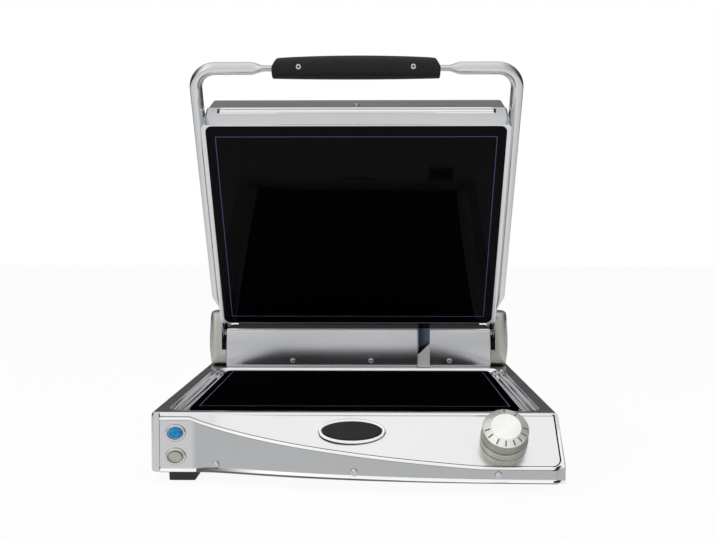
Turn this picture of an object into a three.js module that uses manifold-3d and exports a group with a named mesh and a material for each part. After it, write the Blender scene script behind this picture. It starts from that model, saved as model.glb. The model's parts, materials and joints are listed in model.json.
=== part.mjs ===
// Contact grill with a hinged lid, two glass plates and a bulging front.
// Millimetres, +Z up. The pieces are drawn from the front line of the cooking zone, on top of the
// lower glass: X to the right, Y to the back. The group at the end stands them on the table.

import * as THREE from 'three';
import { mergeVertices } from 'three/addons/utils/BufferGeometryUtils.js';
import Module from 'manifold-3d';

const wasm = await Module();
wasm.setup();

// Fits
const FIT = 0.3; // clearance between pieces that touch
const RUNNING = 0.3; // clearance round a turning or sliding piece
const OVERRUN = 5; // how far a cutting shape runs past what it cuts
const SHEET = 1.5; // folded steel of the base
const THIN_SHEET = 1.2; // folded steel of trays, pans and the hinge cover

// Plates
const GLASS_SIDE = 33.75; // from the body's side to the glass's side edge
const GLASS_DEPTH = 271.3;
const GLASS_THICKNESS = 4;
const GLASS_CORNER = 7;
const GLASS_FRONT = 12.7; // from the front line of the zone to the glass's front edge
const GLASS_BEVEL = 0.5;
const PLATE_GAP = 1.4; // between the two glasses with the lid closed
const GASKET_THICKNESS = 1.8;
const GASKET_WIDTH = 7;
const GASKET_INSET = 1; // from the glass's edge to the gasket

// Base body
const BODY_WIDTH = 400.5;
const BODY_HEIGHT = 59.5;
const RIM_WIDTH = 13.25;
const RIM_ROUND = 3.5; // rounding of the rim's side edges
const FRONT_MARGIN = 23.3; // from the glass's front edge to the body's front face
const FRONT_RIM = 7.5;
const REAR_LEDGE = 22; // from the hinge cover to the body's back
const BULGE = 42; // how far the lower front cover stands forward at the right
const CORNER_LEFT = 8;
const CORNER_REAR = 12;
const CORNER_CHEEK = 3;
const CHEEK_LEFT = 8.5; // width of the body left of the front cover
const CHEEK_RIGHT = 7.2; // width of the body right of the front cover
const CHEEK_PANEL = 3.2; // and right of the control panel
const BULGE_START = 50.2; // from the body's left side to where the front begins to bulge
const FOOT_HEIGHT = 11;
const FOOT_TOP = 30;
const FOOT_BOTTOM = 26;
const FOOT_SIDE_INSET = 16;
const FOOT_FRONT_INSET = 8;
const FOOT_REAR_INSET = 14;

// Front
const PANEL_TOP_STRIP = 4.4; // height of the control panel at its left end
const COVER_END_HEIGHT = 16.7; // from the seam down to the floor at the right
const SWOOSH_START = 39.2; // from the body's left side to where the seam begins to fall
const SEAM = 0.5; // open seam between the control panel and the front cover
const LIP_HEIGHT = 4;
const LIP_PROUD = 1.1;
const LIP_SHARES = [[0, 1], [0.7, 0.75], [1, 0.45], [0.6, 0.15], [-0.2, 0]]; // [proud, down]
const LIP_BACK_SHARE = 0.1; // fall of the lip's back edge as a share of its height
const FRONT_SCREW_HEIGHT = 8;
const SCREW_HEAD_RADIUS = 3.4;
const SCREW_HEAD_HEIGHT = 2;
const SCREW_SHANK_RADIUS = 1.9;
const SCREW_LENGTH = 7;
const SCREW_SEAT = 0.45; // open gap under a screw's head
const SCREW_SOCKET_RADIUS = 1.5;
const SCREW_SOCKET_DEPTH = 1.1;
const SCREW_CHAMFER = 1; // round the head's face

// Buttons
const BUTTON_INSET = 24.4; // from the body's left side to the buttons
const BUTTON_TOP_SHARE = 0.218; // room above the upper button as a share of the spare height
const BUTTON_BETWEEN_SHARE = 0.422; // and between the two buttons
const BEZEL_WIDTH = 20.8;
const BEZEL_HEIGHT = 17.2;
const BEZEL_PROUD = 2.2;
const BEZEL_WALL = 2.4;
const BUTTON_PROUD = 3.4;
const BUTTON_LENGTH = 14;
const BUTTON_TRAVEL = 2.4;
const POWER_CROWN = 2.4; // height of the upper button's crown
const TIMER_CROWN = 1.7;
const CROWN_SHARES = [[1, 1], [0.4, 0.9], [0, 0.6]]; // [depth, width] down the crown

// Dial
const DIAL_INSET = 55.7; // from the body's right side to the dial's axis
const DIAL_SLOPE = 30.2; // from the rim down the panel to the dial's axis
const DIAL_RADIUS = 22;
const DIAL_HEIGHT = 12.5;
const DIAL_CONE = 3.2; // rise of the coned scale ring
const DIAL_TOP_RADIUS = 14;
const DIAL_RING_RADIUS = 22.8;
const DIAL_RING_HEIGHT = 8.4;
const DIAL_RING_CHAMFER = 1.4;
const DIAL_SKIRT = 0.6; // how far the dial's foot is drawn in
const DIAL_SKIRT_HEIGHT = 1.2;
const DIAL_MARKS = 10;
const DIAL_MARK_WIDTH = 1;
const DIAL_MARK_DEPTH = 0.7;
const DIAL_MARK_SHARE = 0.33; // half a mark's length as a share of the scale ring's width
const SHAFT_RADIUS = 3;
const SHAFT_REACH = 12; // how far the dial's shaft reaches behind the panel
const THERMOSTAT_WIDTH = 34;
const THERMOSTAT_DEPTH = 20;
const THERMOSTAT_BUSH = 5;
const THERMOSTAT_BUSH_RISE = 2.7; // how far the bush stands above the panel, inside the ring
const THERMOSTAT_SEAT = 1; // spacer between the panel's underside and the thermostat

// Badge
const BADGE_WIDTH = 65.5;
const BADGE_PLACE = -1.4; // from the middle
const BADGE_HEIGHT = 29;
const BADGE_THICKNESS = 3.6;
const BADGE_RIM = 2.6;
const BADGE_RECESS = 0.9;
const BADGE_SEAT = 0.9; // clear of the panel's twist under the badge

// Gutter tray
const TRAY_DEPTH = 6.2;
const TRAY_CORNER = 18;
const TRAY_REAR = 22.4; // from the glass's back edge to the tray's back edge
const TRAY_LAP = 9; // how far the tray reaches under the glass
const TRAY_SHARES = [
  [0, 0], [0.1, -0.16], [0.24, -0.62], [0.4, -0.74], [0.5, -0.74], [0.56, -0.5], [0.68, -0.5],
  [0.76, -1], [1, -1],
]; // [inward from the rim, down] across the pressed ring

// Heaters
const PAN_INSET = 16; // from the glass's edge to the pan's wall
const PAN_DEPTH = 27;
const PAN_FLANGE = 13;
const PAN_CORNER = 10;
const INSULATION_THICKNESS = 12;
const ELEMENT_RADIUS = 3.2;
const ELEMENT_RUNS = 6;
const ELEMENT_SIDES = 8;
const ELEMENT_MARGIN = 16; // from the pan's wall to the element

// Hinge
const HINGE_SETBACK = 48.3; // from the glass's back edge to the hinge axis
const OPEN_ANGLE = 58.65; // degrees from closed to the open stop
const COVER_FRONT = 11.9; // hinge cover in front of the axis
const COVER_BACK = 51.2; // and behind it
const COVER_RISE = 6.6; // hinge cover above the axis
const COVER_ROUND = 6;
const SHAFT_HINGE_RADIUS = 4.5;
const CRANK_LENGTH = 24;
const CRANK_WIDTH = 10;
const CRANK_THICKNESS = 5;
const CRANK_DROP = 62; // degrees below level, with the lid open
const CRANK_INSET = 60; // from the pod to the crank
const SPRING_RADIUS = 7;
const SPRING_WIRE = 1.3;
const SPRING_TURNS = 8;
const SPRING_LEAD = 5.2; // straight end from the crank to the coil
const SPRING_TURN_STEPS = 7;
const SPRING_SIDES = 5;
const POD_RISE = 28; // pod above the axis
const POD_FRONT = 9.3; // pod's front face ahead of the hinge axis
const POD_BACK = 47.2; // and its back behind the axis
const POD_CORNER = 12;
const POD_WIDTH = 23.5;
const POD_CROWN = 1.8; // outward crown of the outer face
const POD_CROWN_SHARE = 0.33; // how far the crown is drawn in as a share of the pod's height
const POD_INSET = 2.4; // from the body's side to the pod's outer face
const POD_EDGE = 9; // rounding of the pod's outer edge towards the front
const POD_EDGE_TOP = 1.2; // and towards the top
const SLOT_WIDTH = 5.5;
const SLOT_DROP = 21.6; // slot's lower end below the axis
const SLOT_MARGIN = 1.6; // round the arm's blade
const WALL_SCREW_HEIGHT = 8;
const WALL_SCREW_PITCH = 103;
const WALL_SCREW_SHIFT = 16.8;

// Lead guard
const GUARD_WIDTH = 15;
const GUARD_DEPTH = 8;
const GUARD_WALL = 1.6;
const GUARD_PLACE = 86; // right of the middle
const GUARD_DROP = 2; // start of the guard's bend below the top of the hinge cover
const GUARD_BEND = 12;
const GUARD_RUN = 10;

// Arms and grip
const ARM_RADIUS = 7.1;
const ARM_OFFSET = 3.9; // from the blade's middle to the tube's middle
const BLADE_THICKNESS = 3.2;
const BLADE_HALF_HEIGHT = 9;
const BLADE_END = 38; // from the axis to where the blade begins to widen
const TUBE_START = 62;
const HUB_RADIUS = 9.5;
const BAR_AHEAD = 49.6; // from the lid's front to the handle's bar
const BEND_RADIUS = 23.5;
const GRIP_LENGTH = 188.6;
const GRIP_RADIUS = 14.1; // at the middle
const GRIP_END_RADIUS = 11.4;
const GRIP_END_CUT = 5;
const GRIP_SCREW_INSET = 30.6;
const GRIP_FLATNESS = 0.4; // fullness of the grip's lower side as a share of its upper side
const GRIP_TILT = 31; // degrees the grip and the necks are turned about the bar
const NECK_HALF = 3.2;
const NECK_HEIGHT_HALF = 8.4;
const NECK_LENGTH = 7.5; // flat neck outside the grip
const NECK_TAPER = 17.5;
const NECK_GRIPPED = 44; // flat neck inside the grip

// Lid
const LID_SIDE_GAP = 1.4; // between the lid frame and the arm's tube
const LID_LIP = 5; // lid frame beyond the glass at the sides
const LID_FRONT_LIP = 1.8; // and at the front and back
const LID_LIFT = 0.3; // frame's lower edge above the glass's face
const LID_CORNER = 4;
const LID_FRAME_HEIGHT = 57;
const LID_FOLD = 14; // height of the leaning fold at the frame's top
const LID_FOLD_LEAN = 2.2;
const LID_FOLD_RISE_SHARE = 0.5; // where the fold's lean quickens, as a share of its height
const LID_FOLD_LEAN_SHARE = 0.3; // and the lean there
const LID_SIDE_LEAN_SHARE = 0.15; // lean of the frame's sides as a share of its front's
const LID_WALL = 1.9; // the frame's wall under the fold
const LID_WALL_TOP = 2.4; // and under the top flange
const LID_TOP_FLANGE = 12;
const LID_HEIGHT = 99.5;
const HOOD_LEAN = 9.6; // how far the hood's front and back lean in from foot to shoulder
const HOOD_SIDE_LEAN = 1.2; // and its sides
const HOOD_SIDE_INSET = 0.8; // hood's foot in from the frame's side
const HOOD_SIDE_SHOULDER = 2;
const HOOD_CORNER = 3;
const HOOD_SHOULDER = 7;
const PIVOT_DISTANCE = 170.3; // from the hinge axis to the lid's pivot
const PIVOT_DROP = 15; // from the frame's top down to the pivot, which is level with the hinge
const PIVOT_RADIUS = 3.5;
const PIVOT_COLLAR = 7.5;
const PIVOT_INSIDE = 6;
const LID_SCREW_SHARE = 0.4; // height of the hood's screw as a share of the hood's slope

// Rear
const GLAND_RADIUS = 9;
const GLAND_LENGTH = 15;
const GLAND_NECK = 6.5;
const GLAND_BORE = 4.2;
const GLAND_NUT = 5.2;
const GLAND_PLACE = 120;
const GLAND_DROP = 34;
const TERMINAL_WIDTH = 46;
const TERMINAL_DEPTH = 20;
const TERMINAL_HEIGHT = 17;
const TERMINAL_SETBACK = 40; // from the body's back
const TERMINAL_WELLS = 4;
const TERMINAL_WELL_RADIUS = 3.4;
const VENTS = 9;
const VENT_WIDTH = 4;
const VENT_HEIGHT = 22;
const VENT_PITCH = 12;
const VENT_ROUND = 1.6;

// Places worked out from the sizes
const HALF_BODY = BODY_WIDTH / 2;
const SWOOSH_DROP = BODY_HEIGHT - COVER_END_HEIGHT;
const LIP_DROP = PANEL_TOP_STRIP + SEAM + LIP_HEIGHT;
const BUTTON_SPARE = BODY_HEIGHT - SHEET - LIP_DROP - BEZEL_HEIGHT * 2;
const POWER_DROP = LIP_DROP + BUTTON_SPARE * BUTTON_TOP_SHARE + BEZEL_HEIGHT / 2;
const TIMER_DROP = POWER_DROP + BEZEL_HEIGHT + BUTTON_SPARE * BUTTON_BETWEEN_SHARE;
const GLASS_WIDTH = BODY_WIDTH - GLASS_SIDE * 2;
const HALF_GLASS = GLASS_WIDTH / 2;
const GLASS_FRONT_Y = -GLASS_FRONT;
const GLASS_BACK_Y = GLASS_FRONT_Y + GLASS_DEPTH;
const FRONT_Y = GLASS_FRONT_Y - FRONT_MARGIN;
const HINGE_Y = GLASS_BACK_Y + HINGE_SETBACK;
const BAR_DISTANCE = HINGE_SETBACK + GLASS_DEPTH + LID_FRONT_LIP + BAR_AHEAD;
const HINGE_HEIGHT = PLATE_GAP + LID_FRAME_HEIGHT - PIVOT_DROP;
const COVER_HEIGHT = HINGE_HEIGHT + COVER_RISE;
const POD_HEIGHT = HINGE_HEIGHT + POD_RISE;
const GUARD_RISE = COVER_HEIGHT - GUARD_DROP;
const COVER_FRONT_Y = HINGE_Y - COVER_FRONT;
const COVER_BACK_Y = HINGE_Y + COVER_BACK;
const BACK_Y = COVER_BACK_Y + REAR_LEDGE;
const FLOOR_Z = -BODY_HEIGHT;
const TABLE_Z = FLOOR_Z - FOOT_HEIGHT;
const POD_OUTER = HALF_BODY - POD_INSET;
const POD_INNER = POD_OUTER - POD_WIDTH;
const BLADE_X = POD_INNER + SLOT_WIDTH - FIT - BLADE_THICKNESS / 2;
const TUBE_X = BLADE_X + ARM_OFFSET;
const HALF_LID = TUBE_X - ARM_RADIUS - LID_SIDE_GAP;
const HALF_LID_GLASS = HALF_LID - LID_LIP;
const OPEN = THREE.MathUtils.degToRad(OPEN_ANGLE);
const LID_Z = PLATE_GAP;
const DIAL_X = HALF_BODY - DIAL_INSET;
const BUTTON_X = BUTTON_INSET - HALF_BODY;
const BUTTON_ROOM = BUTTON_LENGTH - BUTTON_PROUD + BUTTON_TRAVEL + RUNNING;
const COVER_LEFT_X = CHEEK_LEFT - HALF_BODY;
const COVER_RIGHT_X = HALF_BODY - CHEEK_RIGHT;
const PANEL_RIGHT_X = HALF_BODY - CHEEK_PANEL;

const ROUND_STEPS = 4; // steps in a quarter of a rounded corner
const TURN_STEPS = 32; // steps round a turned piece
const SECTION_STEPS = 12; // steps round a tube
const FRONT_STEPS = 26; // steps along the bulging front
const OVAL_STEPS = 16; // steps in half an oval
const SHAFT_STEPS = 16; // steps round the hinge shaft
const BLEND_STEPS = 4; // steps where an arm's blade widens into the tube
const GRIP_STEPS = 20; // steps round the grip
const SOCKET_SIDES = 6; // hexagon sockets
const CURVE_ACCURACY = 1e-12;

// Solids

function toSolid(geometry) {
  const bare = geometry.clone();
  bare.deleteAttribute('normal');
  bare.deleteAttribute('uv');
  const merged = mergeVertices(bare);
  const vertProperties = new Float32Array(merged.attributes.position.array);
  const triVerts = new Uint32Array(merged.index.array);
  return new wasm.Manifold(new wasm.Mesh({ numProp: 3, vertProperties, triVerts }));
}

function fromSolid(solid) {
  const mesh = solid.getMesh();
  const geometry = new THREE.BufferGeometry();
  geometry.setAttribute('position', new THREE.Float32BufferAttribute(mesh.vertProperties, 3));
  geometry.setIndex(new THREE.Uint32BufferAttribute(mesh.triVerts, 1));
  return geometry;
}

function join(first, ...others) {
  return fromSolid(others.reduce((sum, part) => sum.add(toSolid(part)), toSolid(first)));
}

function cut(first, ...tools) {
  return fromSolid(tools.reduce((rest, tool) => rest.subtract(toSolid(tool)), toSolid(first)));
}

function common(first, second) {
  return fromSolid(toSolid(first).intersect(toSolid(second)));
}

// Shapes

function box(x0, x1, y0, y1, z0, z1) {
  const shape = new THREE.BoxGeometry(x1 - x0, y1 - y0, z1 - z0);
  return shape.translate((x0 + x1) / 2, (y0 + y1) / 2, (z0 + z1) / 2);
}

function roundedRectangle(x0, x1, y0, y1, radius) {
  const shape = new THREE.Shape();
  shape.moveTo(x0 + radius, y0);
  shape.lineTo(x1 - radius, y0);
  shape.absarc(x1 - radius, y0 + radius, radius, -Math.PI / 2, 0, false);
  shape.lineTo(x1, y1 - radius);
  shape.absarc(x1 - radius, y1 - radius, radius, 0, Math.PI / 2, false);
  shape.lineTo(x0 + radius, y1);
  shape.absarc(x0 + radius, y1 - radius, radius, Math.PI / 2, Math.PI, false);
  shape.lineTo(x0, y0 + radius);
  shape.absarc(x0 + radius, y0 + radius, radius, Math.PI, Math.PI * 1.5, false);
  return shape;
}

function ellipse(halfWidth, halfHeight) {
  const shape = new THREE.Shape();
  shape.absellipse(0, 0, halfWidth, halfHeight, 0, Math.PI * 2, false, 0);
  return shape;
}

function upright(shape, z0, z1, steps = ROUND_STEPS) {
  const settings = { depth: z1 - z0, bevelEnabled: false, curveSegments: steps };
  return new THREE.ExtrudeGeometry(shape, settings).translate(0, 0, z0);
}

// An outline in Y and Z, run along X
function alongX(shape, x0, x1, steps = ROUND_STEPS) {
  const geometry = upright(shape, x0, x1, steps);
  const turn = new THREE.Matrix4().makeBasis(
    new THREE.Vector3(0, 1, 0), new THREE.Vector3(0, 0, 1), new THREE.Vector3(1, 0, 0));
  return geometry.applyMatrix4(turn);
}

// An outline in X and Z, run towards the front from y0 to y1
function towardsFront(shape, y0, y1, steps = ROUND_STEPS) {
  return upright(shape, -y0, -y1, steps).rotateX(Math.PI / 2);
}

function rodAlongX(radius, x0, x1, y, z, steps = TURN_STEPS) {
  const rod = new THREE.CylinderGeometry(radius, radius, x1 - x0, steps).rotateZ(Math.PI / 2);
  return rod.translate((x0 + x1) / 2, y, z);
}

function rodAlongY(radius, y0, y1, x, z, steps = TURN_STEPS) {
  const rod = new THREE.CylinderGeometry(radius, radius, y1 - y0, steps);
  return rod.translate(x, (y0 + y1) / 2, z);
}

// A profile of [radius, height] turned round Z
function turned(profile, steps = TURN_STEPS) {
  const points = profile.map(([radius, height]) => new THREE.Vector2(radius, height));
  return new THREE.LatheGeometry(points, steps).rotateX(Math.PI / 2);
}

function volumeOf(geometry) {
  const position = geometry.attributes.position;
  const index = geometry.index.array;
  const [a, b, c] = [new THREE.Vector3(), new THREE.Vector3(), new THREE.Vector3()];
  let volume = 0;
  for (let i = 0; i < index.length; i += 3) {
    a.fromBufferAttribute(position, index[i]);
    b.fromBufferAttribute(position, index[i + 1]);
    c.fromBufferAttribute(position, index[i + 2]);
    volume += a.dot(b.cross(c));
  }
  return volume;
}

// A skin through loops of equally many points, capped at both ends or closed on itself
function skin(loops, closed = false) {
  const count = loops[0].length;
  const index = [];
  const rings = closed ? loops.length : loops.length - 1;
  for (let i = 0; i < rings; i += 1) {
    const next = (i + 1) % loops.length;
    for (let j = 0; j < count; j += 1) {
      const k = (j + 1) % count;
      const [p, q, r, s] = [i * count + j, i * count + k, next * count + k, next * count + j];
      index.push(p, q, r, p, r, s);
    }
  }
  if (!closed) {
    capLoop(loops[0], 0, index, true);
    capLoop(loops.at(-1), (loops.length - 1) * count, index, false);
  }
  const geometry = new THREE.BufferGeometry();
  geometry.setAttribute('position', new THREE.Float32BufferAttribute(loops.flat(2), 3));
  geometry.setIndex(index);
  if (volumeOf(geometry) < 0) {
    for (let i = 0; i < index.length; i += 3) {
      [index[i], index[i + 1]] = [index[i + 1], index[i]];
    }
    geometry.setIndex(index);
  }
  return geometry;
}

function capLoop(loop, offset, index, first) {
  const points = loop.map((point) => new THREE.Vector3(...point));
  const normal = new THREE.Vector3();
  points.forEach((point, i) => {
    normal.add(point.clone().cross(points[(i + 1) % points.length]));
  });
  normal.normalize();
  const side = Math.abs(normal.x) > Math.abs(normal.z) ? new THREE.Vector3(0, 0, 1)
    : new THREE.Vector3(1, 0, 0);
  const across = side.clone().cross(normal).normalize();
  const up = normal.clone().cross(across);
  const flat = points.map((point) => new THREE.Vector2(point.dot(across), point.dot(up)));
  for (const [a, b, c] of THREE.ShapeUtils.triangulateShape(flat, [])) {
    if (first) {
      index.push(offset + a, offset + c, offset + b);
    } else {
      index.push(offset + a, offset + b, offset + c);
    }
  }
}

// Points round a rounded rectangle, the same number whatever its size
function rectangleLoop({ halfWidth, y0, y1, radius, z }) {
  const corners = [
    [halfWidth - radius, y0 + radius, -Math.PI / 2],
    [halfWidth - radius, y1 - radius, 0],
    [radius - halfWidth, y1 - radius, Math.PI / 2],
    [radius - halfWidth, y0 + radius, Math.PI],
  ];
  const loop = [];
  for (const [x, y, start] of corners) {
    for (let i = 0; i <= ROUND_STEPS; i += 1) {
      const angle = start + (Math.PI / 2) * (i / ROUND_STEPS);
      loop.push([x + radius * Math.cos(angle), y + radius * Math.sin(angle), z]);
    }
  }
  return loop;
}

// Points round an ellipse that stands square to a heading in the XY plane
function sectionLoop({ x, y, z = 0, heading, width, height, tilt = 0, steps = SECTION_STEPS }) {
  const loop = [];
  for (let i = 0; i < steps; i += 1) {
    const angle = (Math.PI * 2 * i) / steps;
    const across = width * Math.cos(angle) * Math.cos(tilt) + height * Math.sin(angle) * Math.sin(tilt);
    const up = height * Math.sin(angle) * Math.cos(tilt) - width * Math.cos(angle) * Math.sin(tilt);
    loop.push([x - across * Math.sin(heading), y + across * Math.cos(heading), z + up]);
  }
  return loop;
}

function heightAt(curve, x, before, after) {
  const start = curve.getPoint(0).x;
  const end = curve.getPoint(1).x;
  if (x <= start) return before;
  if (x >= end) return after;
  let low = 0;
  let high = 1;
  while (high - low > CURVE_ACCURACY) {
    const middle = (low + high) / 2;
    if (curve.getPoint(middle).x < x) low = middle;
    else high = middle;
  }
  return curve.getPoint(low).y;
}

// Front: the cover's plan curve and the falling seam

const BULGE_LEFT_SHARE = 0.115;
const BULGE_RIGHT_SHARE = 0.287;
const bulgeStartX = BULGE_START - HALF_BODY;
const bulgeRun = HALF_BODY - bulgeStartX;
const bulgeCurve = new THREE.CubicBezierCurve(
  new THREE.Vector2(bulgeStartX, 0),
  new THREE.Vector2(bulgeStartX + bulgeRun * BULGE_LEFT_SHARE, 0),
  new THREE.Vector2(bulgeStartX + bulgeRun * BULGE_RIGHT_SHARE, BULGE),
  new THREE.Vector2(HALF_BODY, BULGE));

const SEAM_LEFT_SHARE = 0.178;
const SEAM_DROP_SHARE = 0.646;
const SEAM_END_SHARE = 1;
const SEAM_RUN_SHARE = 0.777;
const seamStartX = SWOOSH_START - HALF_BODY;
const seamRun = (HALF_BODY - seamStartX) * SEAM_RUN_SHARE;
const seamFall = SWOOSH_DROP - PANEL_TOP_STRIP;
const seamCurve = new THREE.CubicBezierCurve(
  new THREE.Vector2(seamStartX, PANEL_TOP_STRIP),
  new THREE.Vector2(seamStartX + seamRun * SEAM_LEFT_SHARE,
    PANEL_TOP_STRIP + seamFall * SEAM_DROP_SHARE),
  new THREE.Vector2(seamStartX + seamRun * SEAM_END_SHARE, SWOOSH_DROP),
  new THREE.Vector2(seamStartX + seamRun, SWOOSH_DROP));

const frontFace = (x) => FRONT_Y - heightAt(bulgeCurve, x, 0, BULGE);
const seamHeight = (x) => -heightAt(seamCurve, x, PANEL_TOP_STRIP, SWOOSH_DROP);

function frontStations(x0, x1) {
  const stations = [];
  for (let i = 0; i <= FRONT_STEPS; i += 1) {
    stations.push(x0 + ((x1 - x0) * i) / FRONT_STEPS);
  }
  return stations;
}

// The body's outline seen from above, drawn in by inset
function bodyOutline(inset) {
  const [left, right, back] = [inset - HALF_BODY, HALF_BODY - inset, BACK_Y - inset];
  const rear = Math.max(CORNER_REAR - inset, SHEET);
  const frontLeft = Math.max(CORNER_LEFT - inset, SHEET);
  const cheek = Math.max(CORNER_CHEEK - inset, SHEET);
  const shape = new THREE.Shape();
  shape.moveTo(left, FRONT_Y + inset + frontLeft);
  shape.absarc(left + frontLeft, FRONT_Y + inset + frontLeft, frontLeft, Math.PI, Math.PI * 1.5, false);
  for (const x of frontStations(bulgeStartX, right - cheek)) {
    shape.lineTo(x, frontFace(x) + inset);
  }
  const cheekY = FRONT_Y - BULGE + inset + cheek;
  shape.absarc(right - cheek, cheekY, cheek, -Math.PI / 2, 0, false);
  shape.lineTo(right, back - rear);
  shape.absarc(right - rear, back - rear, rear, 0, Math.PI / 2, false);
  shape.lineTo(left + rear, back);
  shape.absarc(left + rear, back - rear, rear, Math.PI / 2, Math.PI, false);
  return shape;
}

// Everything in front of and above the sloping control panel
function aboveTheSlope(drawnIn) {
  const [far, high] = [FRONT_Y - BULGE - OVERRUN, SWOOSH_DROP];
  const loops = frontStations(bulgeStartX, HALF_BODY + OVERRUN).map((x) => {
    const y = frontFace(x) + drawnIn;
    const z = seamHeight(x) - drawnIn;
    const top = FRONT_Y + drawnIn;
    return [[x, top, -drawnIn], [x, y, z], [x, far, z], [x, far, high], [x, top, high]];
  });
  return skin(loops);
}

function bodySolid(inset, z0, z1) {
  return cut(upright(bodyOutline(inset), z0, z1), aboveTheSlope(inset));
}

// Base

function baseShell() {
  const rounded = new THREE.Shape();
  rounded.moveTo(-HALF_BODY, FLOOR_Z);
  rounded.lineTo(HALF_BODY, FLOOR_Z);
  rounded.lineTo(HALF_BODY, -RIM_ROUND);
  rounded.absarc(HALF_BODY - RIM_ROUND, -RIM_ROUND, RIM_ROUND, 0, Math.PI / 2, false);
  rounded.lineTo(RIM_ROUND - HALF_BODY, 0);
  rounded.absarc(RIM_ROUND - HALF_BODY, -RIM_ROUND, RIM_ROUND, Math.PI / 2, Math.PI, false);
  const outer = common(bodySolid(0, FLOOR_Z, 0),
    towardsFront(rounded, BACK_Y + OVERRUN, FRONT_Y - BULGE - OVERRUN));
  const inner = bodySolid(SHEET, FLOOR_Z - OVERRUN, -SHEET);
  const front = box(COVER_LEFT_X, COVER_RIGHT_X, FRONT_Y - BULGE - OVERRUN, FRONT_Y + SHEET,
    FLOOR_Z - OVERRUN, -SHEET);
  const frontRight = box(0, PANEL_RIGHT_X, FRONT_Y - BULGE - OVERRUN, FRONT_Y + SHEET,
    -SWOOSH_DROP, -SHEET);
  const well = upright(roundedRectangle(RIM_WIDTH - HALF_BODY, HALF_BODY - RIM_WIDTH,
    FRONT_Y + FRONT_RIM, GLASS_BACK_Y + TRAY_REAR, TRAY_CORNER), -SHEET - OVERRUN, OVERRUN);
  const cutters = [inner, front, frontRight, well];
  for (const side of [-1, 1]) {
    const x = side * (POD_INNER - CRANK_INSET);
    const reach = CRANK_THICKNESS + SPRING_RADIUS;
    cutters.push(box(x - reach, x + reach, HINGE_Y, COVER_BACK_Y - THIN_SHEET - FIT,
      -SHEET - OVERRUN, OVERRUN));
  }
  const ventTop = FLOOR_Z + (BODY_HEIGHT + VENT_HEIGHT) / 2;
  for (let i = 0; i < VENTS; i += 1) {
    const x = (i - (VENTS - 1) / 2) * VENT_PITCH;
    const slot = roundedRectangle(x - VENT_WIDTH / 2, x + VENT_WIDTH / 2, ventTop - VENT_HEIGHT,
      ventTop, VENT_ROUND);
    cutters.push(towardsFront(slot, BACK_Y + OVERRUN, BACK_Y - SHEET - OVERRUN));
  }
  cutters.push(rodAlongY(GLAND_NECK + FIT, BACK_Y - SHEET - OVERRUN, BACK_Y + OVERRUN,
    GLAND_PLACE, -GLAND_DROP));
  return cut(outer, ...cutters);
}

function bottomPlate() {
  const plate = bodySolid(SHEET + FIT, FLOOR_Z, FLOOR_Z + SHEET);
  const cutters = [];
  for (let i = 0; i < VENTS; i += 1) {
    const x = (i - (VENTS - 1) / 2) * VENT_PITCH;
    for (const y of [HINGE_Y - COVER_BACK, GLASS_FRONT_Y + COVER_BACK]) {
      cutters.push(box(x - VENT_WIDTH / 2, x + VENT_WIDTH / 2, y - VENT_HEIGHT / 2,
        y + VENT_HEIGHT / 2, FLOOR_Z - OVERRUN, FLOOR_Z + OVERRUN));
    }
  }
  return cut(plate, ...cutters);
}

// Rubber block, upright on its outer side and tapered on the others
function foot(x, y) {
  const half = FOOT_TOP / 2;
  const taper = FOOT_TOP - FOOT_BOTTOM;
  const inward = -Math.sign(x);
  const square = (narrowed, z) => [[x - inward * half, y - half + narrowed / 2, z],
    [x + inward * (half - narrowed), y - half + narrowed / 2, z],
    [x + inward * (half - narrowed), y + half - narrowed / 2, z],
    [x - inward * half, y + half - narrowed / 2, z]];
  return skin([square(taper, TABLE_Z), square(0, FLOOR_Z)]);
}

// Lower front sheet with its rolled top lip
function frontCover() {
  const loops = frontStations(COVER_LEFT_X + FIT, COVER_RIGHT_X - FIT).map((x) => {
    const y = frontFace(x);
    const top = seamHeight(x) - SEAM;
    const lip = LIP_SHARES.map(([proud, down]) => [x, y - LIP_PROUD * proud, top - LIP_HEIGHT * down]);
    return [[x, y, FLOOR_Z], ...lip, [x, y + SHEET, top - LIP_HEIGHT * LIP_BACK_SHARE],
      [x, y + SHEET, FLOOR_Z]];
  });
  const cutters = [];
  for (const drop of [POWER_DROP, TIMER_DROP]) {
    const hole = ellipse((BEZEL_WIDTH - BEZEL_WALL) / 2 + FIT, (BEZEL_HEIGHT - BEZEL_WALL) / 2 + FIT);
    cutters.push(towardsFront(hole, FRONT_Y + OVERRUN, FRONT_Y - OVERRUN, TURN_STEPS)
      .translate(BUTTON_X, 0, -drop));
  }
  for (const x of frontScrewPlaces()) {
    const hole = rodAlongY(SCREW_SHANK_RADIUS + FIT, -OVERRUN, OVERRUN, 0, 0, SECTION_STEPS);
    cutters.push(squareToFront(hole, x, FLOOR_Z + FRONT_SCREW_HEIGHT));
  }
  return cut(skin(loops), ...cutters);
}

const FRONT_SCREW_SHARES = [0.161, 0.502, 0.843];

function frontScrewPlaces() {
  return FRONT_SCREW_SHARES.map((share) => BODY_WIDTH * share - HALF_BODY);
}

function squareToFront(geometry, x, z) {
  const slope = frontFace(x + SCREW_HEAD_RADIUS) - frontFace(x - SCREW_HEAD_RADIUS);
  const turn = Math.atan2(slope, SCREW_HEAD_RADIUS * 2);
  return geometry.rotateZ(turn).translate(x, frontFace(x), z);
}

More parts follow.
